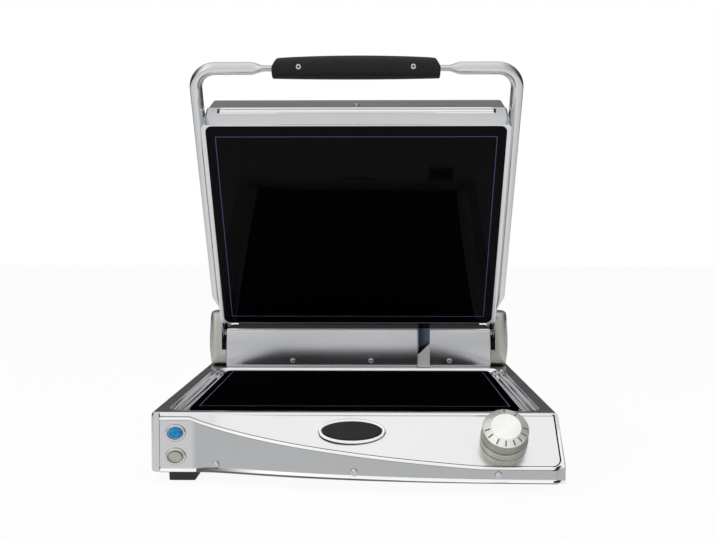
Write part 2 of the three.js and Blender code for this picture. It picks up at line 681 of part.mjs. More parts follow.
// Bright twisted facet between the rim and the falling seam
function controlPanel() {
  const loops = frontStations(COVER_LEFT_X + FIT, PANEL_RIGHT_X - FIT).map((x) => {
    const top = -SHEET - FIT;
    const bottom = seamHeight(x);
    const run = FRONT_Y - frontFace(x);
    const fall = top - bottom;
    const level = (SHEET * Math.hypot(run, fall)) / fall;
    return [
      [x, FRONT_Y, top],
      [x, FRONT_Y - run, bottom],
      [x, FRONT_Y - run + level, bottom],
      [x, FRONT_Y + level, top],
    ];
  });
  const shaftHole = dialPlaced(turned([[0, -DIAL_HEIGHT], [THERMOSTAT_BUSH + FIT, -DIAL_HEIGHT],
    [THERMOSTAT_BUSH + FIT, DIAL_HEIGHT], [0, DIAL_HEIGHT]]));
  return cut(skin(loops), shaftHole);
}

// Frame on the control panel at x, with Z square to the panel and the origin down the slope
function panelFrame(x, down) {
  const run = FRONT_Y - frontFace(x);
  const fall = -SHEET - FIT - seamHeight(x);
  const length = Math.hypot(run, fall);
  const angle = Math.atan2(fall, run);
  const place = new THREE.Vector3(x, FRONT_Y - (run * down) / length,
    -SHEET - FIT - (fall * down) / length);
  return new THREE.Matrix4().makeTranslation(place).multiply(
    new THREE.Matrix4().makeRotationX(angle));
}

const dialFrame = panelFrame(DIAL_X, DIAL_SLOPE);
const dialPlaced = (geometry) => geometry.applyMatrix4(dialFrame);

// Dial

function dialRing() {
  const ring = turned([[THERMOSTAT_BUSH + FIT, FIT], [DIAL_RING_RADIUS, FIT],
    [DIAL_RING_RADIUS, DIAL_RING_HEIGHT - DIAL_RING_CHAMFER],
    [DIAL_RING_RADIUS - DIAL_RING_CHAMFER, DIAL_RING_HEIGHT],
    [THERMOSTAT_BUSH + FIT, DIAL_RING_HEIGHT], [THERMOSTAT_BUSH + FIT, FIT]]);
  return dialPlaced(ring);
}

function dial() {
  const foot = DIAL_RING_HEIGHT + RUNNING;
  const shoulder = foot + DIAL_HEIGHT;
  const crown = shoulder + DIAL_CONE;
  const skirt = DIAL_RADIUS - DIAL_SKIRT;
  const bodyProfile = [[SHAFT_RADIUS + FIT / 2, foot], [skirt, foot], [skirt, foot + DIAL_SKIRT_HEIGHT],
    [DIAL_RADIUS, foot + DIAL_SKIRT_HEIGHT + DIAL_SKIRT], [DIAL_RADIUS, shoulder],
    [DIAL_TOP_RADIUS, crown], [0, crown], [0, shoulder], [SHAFT_RADIUS + FIT / 2, shoulder],
    [SHAFT_RADIUS + FIT / 2, foot]];
  const marks = [];
  const slope = Math.atan2(DIAL_CONE, DIAL_RADIUS - DIAL_TOP_RADIUS);
  const middle = (DIAL_RADIUS + DIAL_TOP_RADIUS) / 2;
  const half = (DIAL_RADIUS - DIAL_TOP_RADIUS) * DIAL_MARK_SHARE;
  for (let i = 0; i < DIAL_MARKS; i += 1) {
    const mark = box(-half, half, -DIAL_MARK_WIDTH / 2, DIAL_MARK_WIDTH / 2,
      -DIAL_MARK_DEPTH, DIAL_MARK_DEPTH).rotateY(slope);
    mark.translate(middle, 0, (shoulder + crown) / 2);
    const turn = Math.PI / 2 - (Math.PI * 2 * i) / (DIAL_MARKS + 1);
    marks.push(mark.rotateZ(turn));
  }
  return dialPlaced(cut(turned(bodyProfile), ...marks));
}

function dialShaft() {
  const top = DIAL_RING_HEIGHT + RUNNING + DIAL_HEIGHT - FIT;
  return dialPlaced(turned([[0, -SHAFT_REACH], [SHAFT_RADIUS, -SHAFT_REACH], [SHAFT_RADIUS, top],
    [0, top]], SECTION_STEPS));
}

function thermostat() {
  const half = THERMOSTAT_WIDTH / 2;
  const front = -SHEET - THERMOSTAT_SEAT;
  const body = upright(roundedRectangle(-half, half, -half / 2, half / 2, THERMOSTAT_BUSH / 2),
    front - THERMOSTAT_DEPTH, front);
  const bush = turned([[0, front - THERMOSTAT_BUSH], [THERMOSTAT_BUSH, front - THERMOSTAT_BUSH],
    [THERMOSTAT_BUSH, THERMOSTAT_BUSH_RISE], [0, THERMOSTAT_BUSH_RISE]]);
  const bore = turned([[0, -SHAFT_REACH - RUNNING], [SHAFT_RADIUS + RUNNING, -SHAFT_REACH - RUNNING],
    [SHAFT_RADIUS + RUNNING, DIAL_HEIGHT], [0, DIAL_HEIGHT]]);
  return dialPlaced(cut(join(body, bush), bore));
}

// Badge

function badgePlaced(geometry) {
  const slope = Math.hypot(FRONT_Y - frontFace(BADGE_PLACE), SHEET + FIT + seamHeight(BADGE_PLACE));
  return geometry.applyMatrix4(panelFrame(BADGE_PLACE, slope / 2));
}

function badgeRing() {
  const outer = upright(ellipse(BADGE_WIDTH / 2, BADGE_HEIGHT / 2), BADGE_SEAT, BADGE_THICKNESS,
    OVAL_STEPS);
  const inner = upright(ellipse(BADGE_WIDTH / 2 - BADGE_RIM, BADGE_HEIGHT / 2 - BADGE_RIM),
    BADGE_THICKNESS - BADGE_RECESS, BADGE_THICKNESS + OVERRUN, OVAL_STEPS);
  return badgePlaced(cut(outer, inner));
}

function badgePlate() {
  const base = BADGE_THICKNESS - BADGE_RECESS + FIT / 2;
  const edge = BADGE_RIM + FIT;
  return badgePlaced(upright(ellipse(BADGE_WIDTH / 2 - edge, BADGE_HEIGHT / 2 - edge), base,
    base + BADGE_RECESS / 2, OVAL_STEPS));
}

// Buttons

function buttonBezel(drop) {
  const front = FRONT_Y - BEZEL_PROUD;
  const flange = towardsFront(ellipse(BEZEL_WIDTH / 2, BEZEL_HEIGHT / 2), FRONT_Y - FIT, front,
    OVAL_STEPS);
  const barrel = towardsFront(ellipse((BEZEL_WIDTH - BEZEL_WALL) / 2, (BEZEL_HEIGHT - BEZEL_WALL) / 2),
    FRONT_Y + BUTTON_ROOM + SHEET, FRONT_Y - FIT - FIT, OVAL_STEPS);
  const bore = towardsFront(ellipse(BEZEL_WIDTH / 2 - BEZEL_WALL, BEZEL_HEIGHT / 2 - BEZEL_WALL),
    FRONT_Y + BUTTON_ROOM, front - OVERRUN, OVAL_STEPS);
  return cut(join(flange, barrel), bore).translate(BUTTON_X, 0, -drop);
}

function pushButton(drop, crown) {
  const halfWidth = BEZEL_WIDTH / 2 - BEZEL_WALL - RUNNING;
  const halfHeight = BEZEL_HEIGHT / 2 - BEZEL_WALL - RUNNING;
  const front = FRONT_Y - BUTTON_PROUD;
  const loops = [];
  const steps = [[BUTTON_LENGTH, 1], ...CROWN_SHARES.map(([depth, share]) => [depth * crown, share])];
  for (const [back, share] of steps) {
    const loop = [];
    for (let i = 0; i < TURN_STEPS; i += 1) {
      const angle = (Math.PI * 2 * i) / TURN_STEPS;
      loop.push([BUTTON_X + halfWidth * share * Math.cos(angle), front + back,
        halfHeight * share * Math.sin(angle) - drop]);
    }
    loops.push(loop);
  }
  return skin(loops);
}

// A screw whose head faces along -Y, with its seat at the origin
function screw() {
  const socket = new THREE.CylinderGeometry(SCREW_SOCKET_RADIUS, SCREW_SOCKET_RADIUS,
    SCREW_SOCKET_DEPTH * 2, SOCKET_SIDES);
  const profile = [[0, -SCREW_LENGTH], [SCREW_SHANK_RADIUS, -SCREW_LENGTH],
    [SCREW_SHANK_RADIUS, SCREW_SEAT], [SCREW_HEAD_RADIUS, SCREW_SEAT],
    [SCREW_HEAD_RADIUS, SCREW_HEAD_HEIGHT - SCREW_CHAMFER],
    [SCREW_HEAD_RADIUS - SCREW_CHAMFER, SCREW_HEAD_HEIGHT], [0, SCREW_HEAD_HEIGHT]];
  const solid = turned(profile, SECTION_STEPS).rotateX(Math.PI / 2);
  return cut(solid, socket.translate(0, -SCREW_HEAD_HEIGHT, 0));
}

// Gutter tray: a pressed ring round the lower glass
function gutterTray() {
  const outerHalf = HALF_BODY - RIM_WIDTH - FIT;
  const innerHalf = HALF_GLASS + FIT;
  const front0 = FRONT_Y + FRONT_RIM + FIT;
  const back0 = GLASS_BACK_Y + TRAY_REAR - FIT;
  const level = (share, z, lap = 0) => {
    const reach = 1 - share;
    return rectangleLoop({
      halfWidth: innerHalf + (outerHalf - innerHalf) * reach - lap,
      y0: GLASS_FRONT_Y - FIT + (front0 - GLASS_FRONT_Y + FIT) * reach + lap,
      y1: GLASS_BACK_Y + FIT + (back0 - GLASS_BACK_Y - FIT) * reach - lap,
      radius: GLASS_CORNER + (TRAY_CORNER - GLASS_CORNER) * reach,
      z,
    });
  };
  const top = TRAY_SHARES.map(([share, depth]) => level(share, depth * TRAY_DEPTH));
  const under = TRAY_SHARES.map(([share, depth]) => level(share, depth * TRAY_DEPTH - THIN_SHEET));
  const lapTop = level(1, -TRAY_DEPTH, TRAY_LAP);
  const lapUnder = level(1, -TRAY_DEPTH - THIN_SHEET, TRAY_LAP);
  return skin([...top, lapTop, lapUnder, ...under.reverse()], true);
}

// A ring of rectangular section that follows the glass's edge
function glassRing(halfGlass, z0, z1) {
  const level = (drawnIn, z) => rectangleLoop({
    halfWidth: halfGlass - drawnIn,
    y0: GLASS_FRONT_Y + drawnIn,
    y1: GLASS_BACK_Y - drawnIn,
    radius: GLASS_CORNER,
    z,
  });
  const [outer, inner] = [GASKET_INSET, GASKET_INSET + GASKET_WIDTH];
  return skin([level(outer, z0), level(outer, z1), level(inner, z1), level(inner, z0)], true);
}

function glassPlate(halfGlass, z0, z1) {
  const level = (drawnIn, z) => rectangleLoop({
    halfWidth: halfGlass - drawnIn,
    y0: GLASS_FRONT_Y + drawnIn,
    y1: GLASS_BACK_Y - drawnIn,
    radius: GLASS_CORNER - drawnIn,
    z,
  });
  return skin([level(GLASS_BEVEL, z0), level(0, z0 + GLASS_BEVEL), level(0, z1 - GLASS_BEVEL),
    level(GLASS_BEVEL, z1)]);
}

// Heaters. Drawn below a glass whose underside is at top; the lid's set is turned over.

function panArea(halfGlass, inset) {
  return [inset - halfGlass, halfGlass - inset, GLASS_FRONT_Y + inset, GLASS_BACK_Y - inset];
}

function heaterPan(halfGlass, top) {
  const wall = upright(roundedRectangle(...panArea(halfGlass, PAN_INSET), PAN_CORNER), top - PAN_DEPTH,
    top);
  const hollow = upright(roundedRectangle(...panArea(halfGlass, PAN_INSET + THIN_SHEET), PAN_CORNER),
    top - PAN_DEPTH + THIN_SHEET, top + OVERRUN);
  const flange = upright(roundedRectangle(...panArea(halfGlass, PAN_INSET - PAN_FLANGE), PAN_CORNER),
    top - THIN_SHEET, top);
  return cut(join(wall, flange), hollow);
}

function insulation(halfGlass, top) {
  const area = panArea(halfGlass, PAN_INSET + THIN_SHEET + FIT);
  const floor = top - PAN_DEPTH + THIN_SHEET + FIT;
  return upright(roundedRectangle(...area, PAN_CORNER), floor, floor + INSULATION_THICKNESS);
}

// One tube bent to and fro over the insulation
function heatingElement(halfGlass, top) {
  const inset = PAN_INSET + THIN_SHEET + ELEMENT_MARGIN;
  const [left, right, front, back] = panArea(halfGlass, inset);
  const pitch = (back - front) / (ELEMENT_RUNS - 1);
  const z = top - PAN_DEPTH + THIN_SHEET + FIT + INSULATION_THICKNESS + FIT + ELEMENT_RADIUS;
  const turnRadius = pitch / 2;
  const loops = [];
  const push = (x, y, heading) => {
    const [width, height, steps] = [ELEMENT_RADIUS, ELEMENT_RADIUS, ELEMENT_SIDES];
    loops.push(sectionLoop({ x, y, z, heading, width, height, steps }));
  };
  for (let run = 0; run < ELEMENT_RUNS; run += 1) {
    const y = front + run * pitch;
    const rightward = run % 2 === 0;
    const [start, end] = rightward ? [left + turnRadius, right - turnRadius] : [right - turnRadius,
      left + turnRadius];
    push(start, y, rightward ? 0 : Math.PI);
    push(end, y, rightward ? 0 : Math.PI);
    if (run < ELEMENT_RUNS - 1) {
      for (let step = 1; step < ROUND_STEPS; step += 1) {
        const angle = (Math.PI * step) / ROUND_STEPS;
        const swing = rightward ? 1 : -1;
        push(end + swing * turnRadius * Math.sin(angle), y + turnRadius * (1 - Math.cos(angle)),
          rightward ? angle : Math.PI - angle);
      }
    }
  }
  return skin(loops);
}

// Hinge

function hingeCover() {
  const outline = (inset, bottom) => {
    const shape = new THREE.Shape();
    const [front, back, top] = [COVER_FRONT_Y + inset, COVER_BACK_Y - inset, COVER_HEIGHT - inset];
    const round = COVER_ROUND - inset;
    shape.moveTo(front, bottom);
    shape.lineTo(back, bottom);
    shape.lineTo(back, top - round);
    shape.absarc(back - round, top - round, round, 0, Math.PI / 2, false);
    shape.lineTo(front + round, top);
    shape.absarc(front + round, top - round, round, Math.PI / 2, Math.PI, false);
    return shape;
  };
  const half = POD_INNER - FIT;
  const outer = alongX(outline(0, FIT), -half, half);
  const inner = alongX(outline(THIN_SHEET, FIT - OVERRUN), THIN_SHEET - half, half - THIN_SHEET);
  const shaftHole = rodAlongX(SHAFT_HINGE_RADIUS + RUNNING, -half - OVERRUN, half + OVERRUN, HINGE_Y,
    HINGE_HEIGHT);
  const screwHoles = wallScrewPlaces().map((x) => rodAlongY(SCREW_SHANK_RADIUS + FIT,
    COVER_FRONT_Y - OVERRUN, COVER_FRONT_Y + OVERRUN, x, WALL_SCREW_HEIGHT, SECTION_STEPS));
  return cut(outer, inner, shaftHole, ...screwHoles);
}

function wallScrewPlaces() {
  return [-1, 0, 1].map((step) => WALL_SCREW_SHIFT + step * WALL_SCREW_PITCH);
}

// Half-height and direction of the slot follow the arm's blade from closed to open
function slotOutline() {
  const half = BLADE_HALF_HEIGHT + SLOT_MARGIN;
  const reach = POD_HEIGHT + POD_BACK;
  const hub = HUB_RADIUS + SLOT_MARGIN;
  const [forward, rise] = [Math.cos(OPEN), Math.sin(OPEN)];
  const backEdge = [half * rise, half * forward];
  const shape = new THREE.Shape();
  shape.moveTo(HINGE_Y - reach, HINGE_HEIGHT - SLOT_DROP);
  shape.lineTo(HINGE_Y, HINGE_HEIGHT - SLOT_DROP);
  shape.absarc(HINGE_Y, HINGE_HEIGHT, hub, -Math.PI / 2,
    Math.PI / 2 - OPEN + Math.acos(half / hub), false);
  shape.lineTo(HINGE_Y + backEdge[0] - reach * forward, HINGE_HEIGHT + backEdge[1] + reach * rise);
  shape.lineTo(HINGE_Y - reach, HINGE_HEIGHT + reach);
  return shape;
}

// Cast end cap that stands on the rim, for the left side, with its outer face towards -X
function hingePod() {
  const flank = POD_OUTER - POD_CROWN - POD_EDGE;
  const front = HINGE_Y - POD_FRONT;
  const back = HINGE_Y + POD_BACK;
  const loops = [podOutline(-POD_INNER, front, back, 0)];
  for (let step = 0; step <= ROUND_STEPS; step += 1) {
    const angle = (Math.PI / 2) * (step / ROUND_STEPS);
    const drawnIn = POD_EDGE * (1 - Math.cos(angle));
    const lowered = POD_EDGE_TOP * (1 - Math.cos(angle));
    loops.push(podOutline(-flank - POD_EDGE * Math.sin(angle), front + drawnIn, back - drawnIn, lowered));
  }
  loops.push(podOutline(-POD_OUTER, front + POD_CORNER, back - POD_CORNER,
    POD_HEIGHT * POD_CROWN_SHARE));
  const slot = alongX(slotOutline(), -POD_INNER - SLOT_WIDTH, OVERRUN - POD_INNER);
  const bore = rodAlongX(SHAFT_HINGE_RADIUS + RUNNING, -shaftEnd() - RUNNING, OVERRUN - POD_INNER,
    HINGE_Y, HINGE_HEIGHT, SHAFT_STEPS);
  return cut(skin(loops), slot, bore);
}

function podOutline(x, front, back, lowered) {
  const flat = rectangleLoop({
    halfWidth: (back - front) / 2,
    y0: FIT + lowered / 2,
    y1: POD_HEIGHT - lowered,
    radius: POD_CORNER,
    z: x,
  });
  return flat.map(([y, z]) => [x, (front + back) / 2 + y, z]);
}

// The shaft ends inside the pods
function shaftEnd() {
  return POD_OUTER - POD_CROWN - POD_EDGE / 2;
}

// Shaft with two cranks, drawn at the hinge axis with the lid closed
function hingeShaft() {
  const end = shaftEnd();
  const parts = [rodAlongX(SHAFT_HINGE_RADIUS, -end, end, 0, 0, SHAFT_STEPS)];
  const angle = OPEN - THREE.MathUtils.degToRad(CRANK_DROP);
  for (const side of [-1, 1]) {
    const x = side * (POD_INNER - CRANK_INSET);
    const crank = box(x - CRANK_THICKNESS / 2, x + CRANK_THICKNESS / 2, 0, CRANK_LENGTH,
      -CRANK_WIDTH / 2, CRANK_WIDTH / 2);
    const eye = rodAlongX(CRANK_WIDTH / 2, x - CRANK_THICKNESS / 2, x + CRANK_THICKNESS / 2,
      CRANK_LENGTH, 0, SHAFT_STEPS);
    parts.push(join(crank, eye).rotateX(angle));
  }
  return join(...parts);
}

// Coil that hangs from the crank's end to the bottom plate, with the lid open
function liftSpring(side) {
  const drop = THREE.MathUtils.degToRad(CRANK_DROP);
  const x = side * (POD_INNER - CRANK_INSET);
  const y = HINGE_Y + CRANK_LENGTH * Math.cos(drop);
  const top = HINGE_HEIGHT - CRANK_LENGTH * Math.sin(drop) - CRANK_WIDTH / 2 - FIT;
  const bottom = FLOOR_Z + SHEET + FIT;
  const coilTop = top - SPRING_LEAD;
  const total = SPRING_TURNS * SPRING_TURN_STEPS;
  const centres = [[x, y, top], [x, y, top - SPRING_LEAD / 2]];
  for (let i = 0; i <= total; i += 1) {
    const angle = (Math.PI * 2 * i) / SPRING_TURN_STEPS;
    const height = coilTop - ((coilTop - bottom - SPRING_WIRE) * i) / total;
    centres.push([x + SPRING_RADIUS * Math.cos(angle), y + SPRING_RADIUS * Math.sin(angle), height]);
  }
  return skin(wireLoops(centres, SPRING_WIRE, SPRING_SIDES));
}

// Loops of a round wire through a list of centres
function wireLoops(centres, radius, sides) {
  const points = centres.map((centre) => new THREE.Vector3(...centre));
  let across = new THREE.Vector3(1, 0, 0);
  return points.map((point, i) => {
    const before = points[Math.max(i - 1, 0)];
    const after = points[Math.min(i + 1, points.length - 1)];
    const heading = after.clone().sub(before).normalize();
    across = across.clone().sub(heading.clone().multiplyScalar(across.dot(heading))).normalize();
    const up = heading.clone().cross(across);
    const loop = [];
    for (let j = 0; j < sides; j += 1) {
      const angle = (Math.PI * 2 * j) / sides;
      const corner = point.clone().addScaledVector(across, radius * Math.cos(angle))
        .addScaledVector(up, radius * Math.sin(angle));
      loop.push(corner.toArray());
    }
    return loop;
  });
}

// Polished guard that carries the lid's lead up in front of the hinge cover and bends back over it
function leadGuard() {
  const outline = (inset) => {
    const [front, back] = [COVER_FRONT_Y - FIT - GUARD_DEPTH + inset, COVER_FRONT_Y - FIT - inset];
    const bend = GUARD_BEND - inset;
    const outerBend = GUARD_BEND + GUARD_DEPTH - inset * 2;
    const [cx, cz] = [COVER_FRONT_Y - FIT + GUARD_BEND - inset, GUARD_RISE];
    const end = cx + GUARD_RUN;
    const shape = new THREE.Shape();
    shape.moveTo(front, FIT - (inset > 0 ? OVERRUN : 0));
    shape.lineTo(back, FIT - (inset > 0 ? OVERRUN : 0));
    shape.lineTo(back, cz);
    shape.absarc(back + bend, cz, bend, Math.PI, Math.PI / 2, true);
    shape.lineTo(end + (inset > 0 ? OVERRUN : 0), cz + bend);
    shape.lineTo(end + (inset > 0 ? OVERRUN : 0), cz + bend + back - front);
    shape.absarc(front + outerBend, cz, bend + back - front, Math.PI / 2, Math.PI, false);
    return shape;
  };
  const half = GUARD_WIDTH / 2;
  const outer = alongX(outline(0), GUARD_PLACE - half, GUARD_PLACE + half);
  const inner = alongX(outline(GUARD_WALL), GUARD_PLACE - half + GUARD_WALL,
    GUARD_PLACE + half - GUARD_WALL);
  return cut(outer, inner);
}

// Arms, drawn from the hinge axis with the lid closed, for the left side

function arm() {
  const loops = [];
  const push = (x, y, heading, width, height, tilt = 0) => {
    loops.push(sectionLoop({ x, y, heading, width, height, tilt }));
  };
  const ahead = -Math.PI / 2;
  const blade = BLADE_THICKNESS / 2;
  push(-BLADE_X, 0, ahead, blade, BLADE_HALF_HEIGHT);
  for (let step = 0; step <= BLEND_STEPS; step += 1) {
    const share = step / BLEND_STEPS;
    const ease = THREE.MathUtils.smoothstep(share, 0, 1);
    push(-BLADE_X - ARM_OFFSET * ease, -BLADE_END - (TUBE_START - BLADE_END) * share, ahead,
      blade + (ARM_RADIUS - blade) * ease,
      BLADE_HALF_HEIGHT + (ARM_RADIUS - BLADE_HALF_HEIGHT) * ease);
  }
  const [bendX, bendY] = [BEND_RADIUS - TUBE_X, BEND_RADIUS - BAR_DISTANCE];
  for (let step = 0; step <= ROUND_STEPS + 1; step += 1) {
    const turn = (Math.PI / 2) * (step / (ROUND_STEPS + 1));
    push(bendX - BEND_RADIUS * Math.cos(turn), bendY - BEND_RADIUS * Math.sin(turn), ahead + turn,
      ARM_RADIUS, ARM_RADIUS);
  }
  const neckX = -GRIP_LENGTH / 2 - NECK_LENGTH;
  for (let step = 0; step <= BLEND_STEPS; step += 1) {
    const share = step / BLEND_STEPS;
    const ease = THREE.MathUtils.smoothstep(share, 0, 1);
    push(neckX - NECK_TAPER * (1 - share), -BAR_DISTANCE, 0,
      ARM_RADIUS + (NECK_HALF - ARM_RADIUS) * ease,
      ARM_RADIUS + (NECK_HEIGHT_HALF - ARM_RADIUS) * ease, gripTurn * ease);
  }
  push(neckX + NECK_LENGTH + NECK_GRIPPED, -BAR_DISTANCE, 0, NECK_HALF, NECK_HEIGHT_HALF, gripTurn);
  const hub = rodAlongX(HUB_RADIUS, -BLADE_X - blade, -BLADE_X + blade, 0, 0);
  const bore = rodAlongX(SHAFT_HINGE_RADIUS + FIT / 2, -BLADE_X - OVERRUN, -BLADE_X + OVERRUN, 0, 0);
  const pivotHole = rodAlongX(PIVOT_RADIUS + RUNNING, -TUBE_X, OVERRUN + ARM_RADIUS - TUBE_X,
    -PIVOT_DISTANCE, 0);
  const screwHole = new THREE.CylinderGeometry(SCREW_SHANK_RADIUS + FIT, SCREW_SHANK_RADIUS + FIT,
    GRIP_RADIUS * 2, SECTION_STEPS).rotateX(Math.PI / 2);
  gripPlaced(screwHole.translate(GRIP_SCREW_INSET - GRIP_LENGTH / 2, 0, 0));
  return cut(join(skin(loops), hub), bore, pivotHole, screwHole);
}

const gripTurn = THREE.MathUtils.degToRad(GRIP_TILT);
const gripPlaced = (geometry) => geometry.rotateX(-gripTurn).translate(0, -BAR_DISTANCE, 0);

const GRIP_SHARES = [[0, 0], [0.12, 0.42], [0.3, 0.8], [0.5, 1], [0.7, 0.8], [0.88, 0.42], [1, 0]];

function grip() {
  const loops = [];
  const half = GRIP_LENGTH / 2;
  for (const [along, fullness] of GRIP_SHARES) {
    const loop = [];
    for (let i = 0; i < GRIP_STEPS; i += 1) {
      const angle = (Math.PI * 2 * i) / GRIP_STEPS;
      const forward = Math.cos(angle);
      const share = forward > 0 ? 1 : 1 + (GRIP_FLATNESS - 1) * -forward;
      const radius = GRIP_END_RADIUS + (GRIP_RADIUS - GRIP_END_RADIUS) * fullness * share;
      const end = Math.abs(along * 2 - 1) === 1 ? GRIP_END_CUT * Math.max(0, forward) : 0;
      const x = (along * 2 - 1) * (half - end);
      loop.push([x, -radius * forward, radius * Math.sin(angle)]);
    }
    loops.push(loop);
  }
  const pockets = [-1, 1].map((side) => {
    const depth = NECK_GRIPPED + FIT;
    const x0 = side * (half + OVERRUN);
    const x1 = side * (half - depth);
    const pocket = [x0, x1].map((x) => sectionLoop({
      x, y: 0, heading: 0, width: NECK_HALF + FIT, height: NECK_HEIGHT_HALF + FIT,
    }));
    return skin(pocket);
  });
  const holes = [-1, 1].map((side) => {
    const [shank, head] = [SCREW_SHANK_RADIUS + FIT, SCREW_HEAD_RADIUS + FIT];
    const [end, floor, top] = [SHEET - GRIP_RADIUS, NECK_HEIGHT_HALF + SHEET, GRIP_RADIUS + OVERRUN];
    const seat = turned([[0, end], [shank, end], [shank, floor], [head, floor], [head, top], [0, top]],
      SECTION_STEPS);
    return seat.rotateX(Math.PI).translate(side * (half - GRIP_SCREW_INSET), 0, 0);
  });
  return gripPlaced(cut(skin(loops), ...pockets, ...holes));
}

// Grip screw with its head on the face that the cook sees with the lid open
function gripScrew(side) {
  const seat = NECK_HEIGHT_HALF + SHEET;
  const [top, end] = [seat + SCREW_HEAD_HEIGHT, -NECK_HEIGHT_HALF - FIT];
  const [shank, head] = [SCREW_SHANK_RADIUS, SCREW_HEAD_RADIUS];
  const socket = turned([[0, top - SCREW_SOCKET_DEPTH], [SCREW_SOCKET_RADIUS, top - SCREW_SOCKET_DEPTH],
    [SCREW_SOCKET_RADIUS, top + OVERRUN], [0, top + OVERRUN]], SOCKET_SIDES);
  const solid = turned([[0, end], [shank, end], [shank, seat + FIT], [head, seat + FIT],
    [head, top - SCREW_CHAMFER], [head - SCREW_CHAMFER, top], [0, top]], SECTION_STEPS);
  const screwAxis = cut(solid, socket).rotateX(Math.PI);
  return gripPlaced(screwAxis.translate(side * (GRIP_LENGTH / 2 - GRIP_SCREW_INSET), 0, 0));
}

// Lid, drawn as it lies when closed, with heights from its glass's face

function lidLevel(drawnIn, z, sideways = drawnIn, radius = Math.max(LID_CORNER - drawnIn, SHEET)) {
  return rectangleLoop({
    halfWidth: HALF_LID - sideways,
    y0: GLASS_FRONT_Y - LID_FRONT_LIP + drawnIn,
    y1: GLASS_BACK_Y + LID_FRONT_LIP - drawnIn,
    radius,
    z: LID_Z + z,
  });
}

// A ring whose inner edge is the glass's own outline with a clearance
function lidGlassLevel(z) {
  return rectangleLoop({
    halfWidth: HALF_LID_GLASS + FIT,
    y0: GLASS_FRONT_Y - FIT,
    y1: GLASS_BACK_Y + FIT,
    radius: GLASS_CORNER + FIT,
    z: LID_Z + z,
  });
}

function lidFrame() {
  const straight = LID_FRAME_HEIGHT - LID_FOLD;
  const steps = [[0, LID_LIFT], [0, straight],
    [LID_FOLD_LEAN * LID_FOLD_LEAN_SHARE, straight + LID_FOLD * LID_FOLD_RISE_SHARE],
    [LID_FOLD_LEAN, LID_FRAME_HEIGHT - THIN_SHEET], [LID_FOLD_LEAN + THIN_SHEET, LID_FRAME_HEIGHT]];
  const loops = steps.map(([drawnIn, z]) => lidLevel(drawnIn, z, drawnIn * LID_SIDE_LEAN_SHARE));
  loops.push(lidLevel(LID_TOP_FLANGE, LID_FRAME_HEIGHT));
  loops.push(lidLevel(LID_TOP_FLANGE, LID_FRAME_HEIGHT - THIN_SHEET));
  loops.push(lidLevel(LID_FOLD_LEAN + LID_WALL_TOP, LID_FRAME_HEIGHT - THIN_SHEET, LID_WALL_TOP));
  loops.push(lidLevel(LID_WALL, straight));
  loops.push(lidLevel(THIN_SHEET, LID_LIFT + THIN_SHEET));
  loops.push(lidGlassLevel(LID_LIFT + THIN_SHEET));
  loops.push(lidGlassLevel(LID_LIFT));
  const pivotHole = rodAlongX(PIVOT_RADIUS + FIT, -HALF_LID - OVERRUN, HALF_LID + OVERRUN,
    HINGE_Y - PIVOT_DISTANCE, HINGE_HEIGHT);
  return cut(skin(loops, true), pivotHole);
}

const HOOD_FOOT = LID_FRAME_HEIGHT + FIT;

// The hood's shoulder rounds over to a flat top
function hoodLevels(thickness, drop) {
  const shoulder = LID_HEIGHT - HOOD_SHOULDER;
  const corner = HOOD_CORNER - thickness;
  const foot = LID_FOLD_LEAN + thickness;
  const side = HOOD_SIDE_INSET + thickness;
  const levels = [lidLevel(foot, HOOD_FOOT - drop, side, corner)];
  for (let step = 0; step <= ROUND_STEPS; step += 1) {
    const angle = (Math.PI / 2) * (step / ROUND_STEPS);
    const over = 1 - Math.cos(angle);
    const rise = shoulder + (HOOD_SHOULDER - thickness) * Math.sin(angle);
    levels.push(lidLevel(foot + HOOD_LEAN + HOOD_SHOULDER * over, rise,
      side + HOOD_SIDE_LEAN + HOOD_SIDE_SHOULDER * over, corner));
  }
  return levels;
}

function lidHood() {
  const outer = skin(hoodLevels(0, 0));
  const inner = skin(hoodLevels(THIN_SHEET, OVERRUN));
  const hole = lidScrewPlaced(
    rodAlongY(SCREW_SHANK_RADIUS + FIT, -OVERRUN, OVERRUN, 0, 0, SECTION_STEPS));
  return cut(outer, inner, hole);
}

// The hood's front slope carries one screw in the middle
function lidScrewPlaced(geometry) {
  const rise = LID_HEIGHT - HOOD_SHOULDER - HOOD_FOOT;
  const lean = Math.atan2(HOOD_LEAN, rise);
  const y = GLASS_FRONT_Y - LID_FRONT_LIP + LID_FOLD_LEAN + HOOD_LEAN * LID_SCREW_SHARE;
  return geometry.rotateX(-lean).translate(0, y, LID_Z + HOOD_FOOT + rise * LID_SCREW_SHARE);
}

function pivotPin() {
  const wall = -HALF_LID + LID_WALL_TOP + FIT;
  const inside = wall + PIVOT_INSIDE;
  const pin = rodAlongX(PIVOT_RADIUS, -TUBE_X + FIT, inside, HINGE_Y - PIVOT_DISTANCE, HINGE_HEIGHT);
  const collar = rodAlongX(PIVOT_COLLAR, wall, inside, HINGE_Y - PIVOT_DISTANCE, HINGE_HEIGHT);
  return join(pin, collar);
}

// Rear

function cableGland() {
  const seat = SHEET + FIT;
  const profile = [[GLAND_BORE, -GLAND_NUT], [GLAND_NECK, -GLAND_NUT], [GLAND_NECK, seat],
    [GLAND_RADIUS, seat], [GLAND_RADIUS, seat + GLAND_NUT], [GLAND_NECK, seat + GLAND_NUT],
    [GLAND_NECK, GLAND_LENGTH - GLAND_NUT], [GLAND_BORE + FIT, GLAND_LENGTH],
    [GLAND_BORE, GLAND_LENGTH], [GLAND_BORE, -GLAND_NUT]];
  return turned(profile, SHAFT_STEPS).rotateX(-Math.PI / 2)
    .translate(GLAND_PLACE, BACK_Y - SHEET, -GLAND_DROP);
}

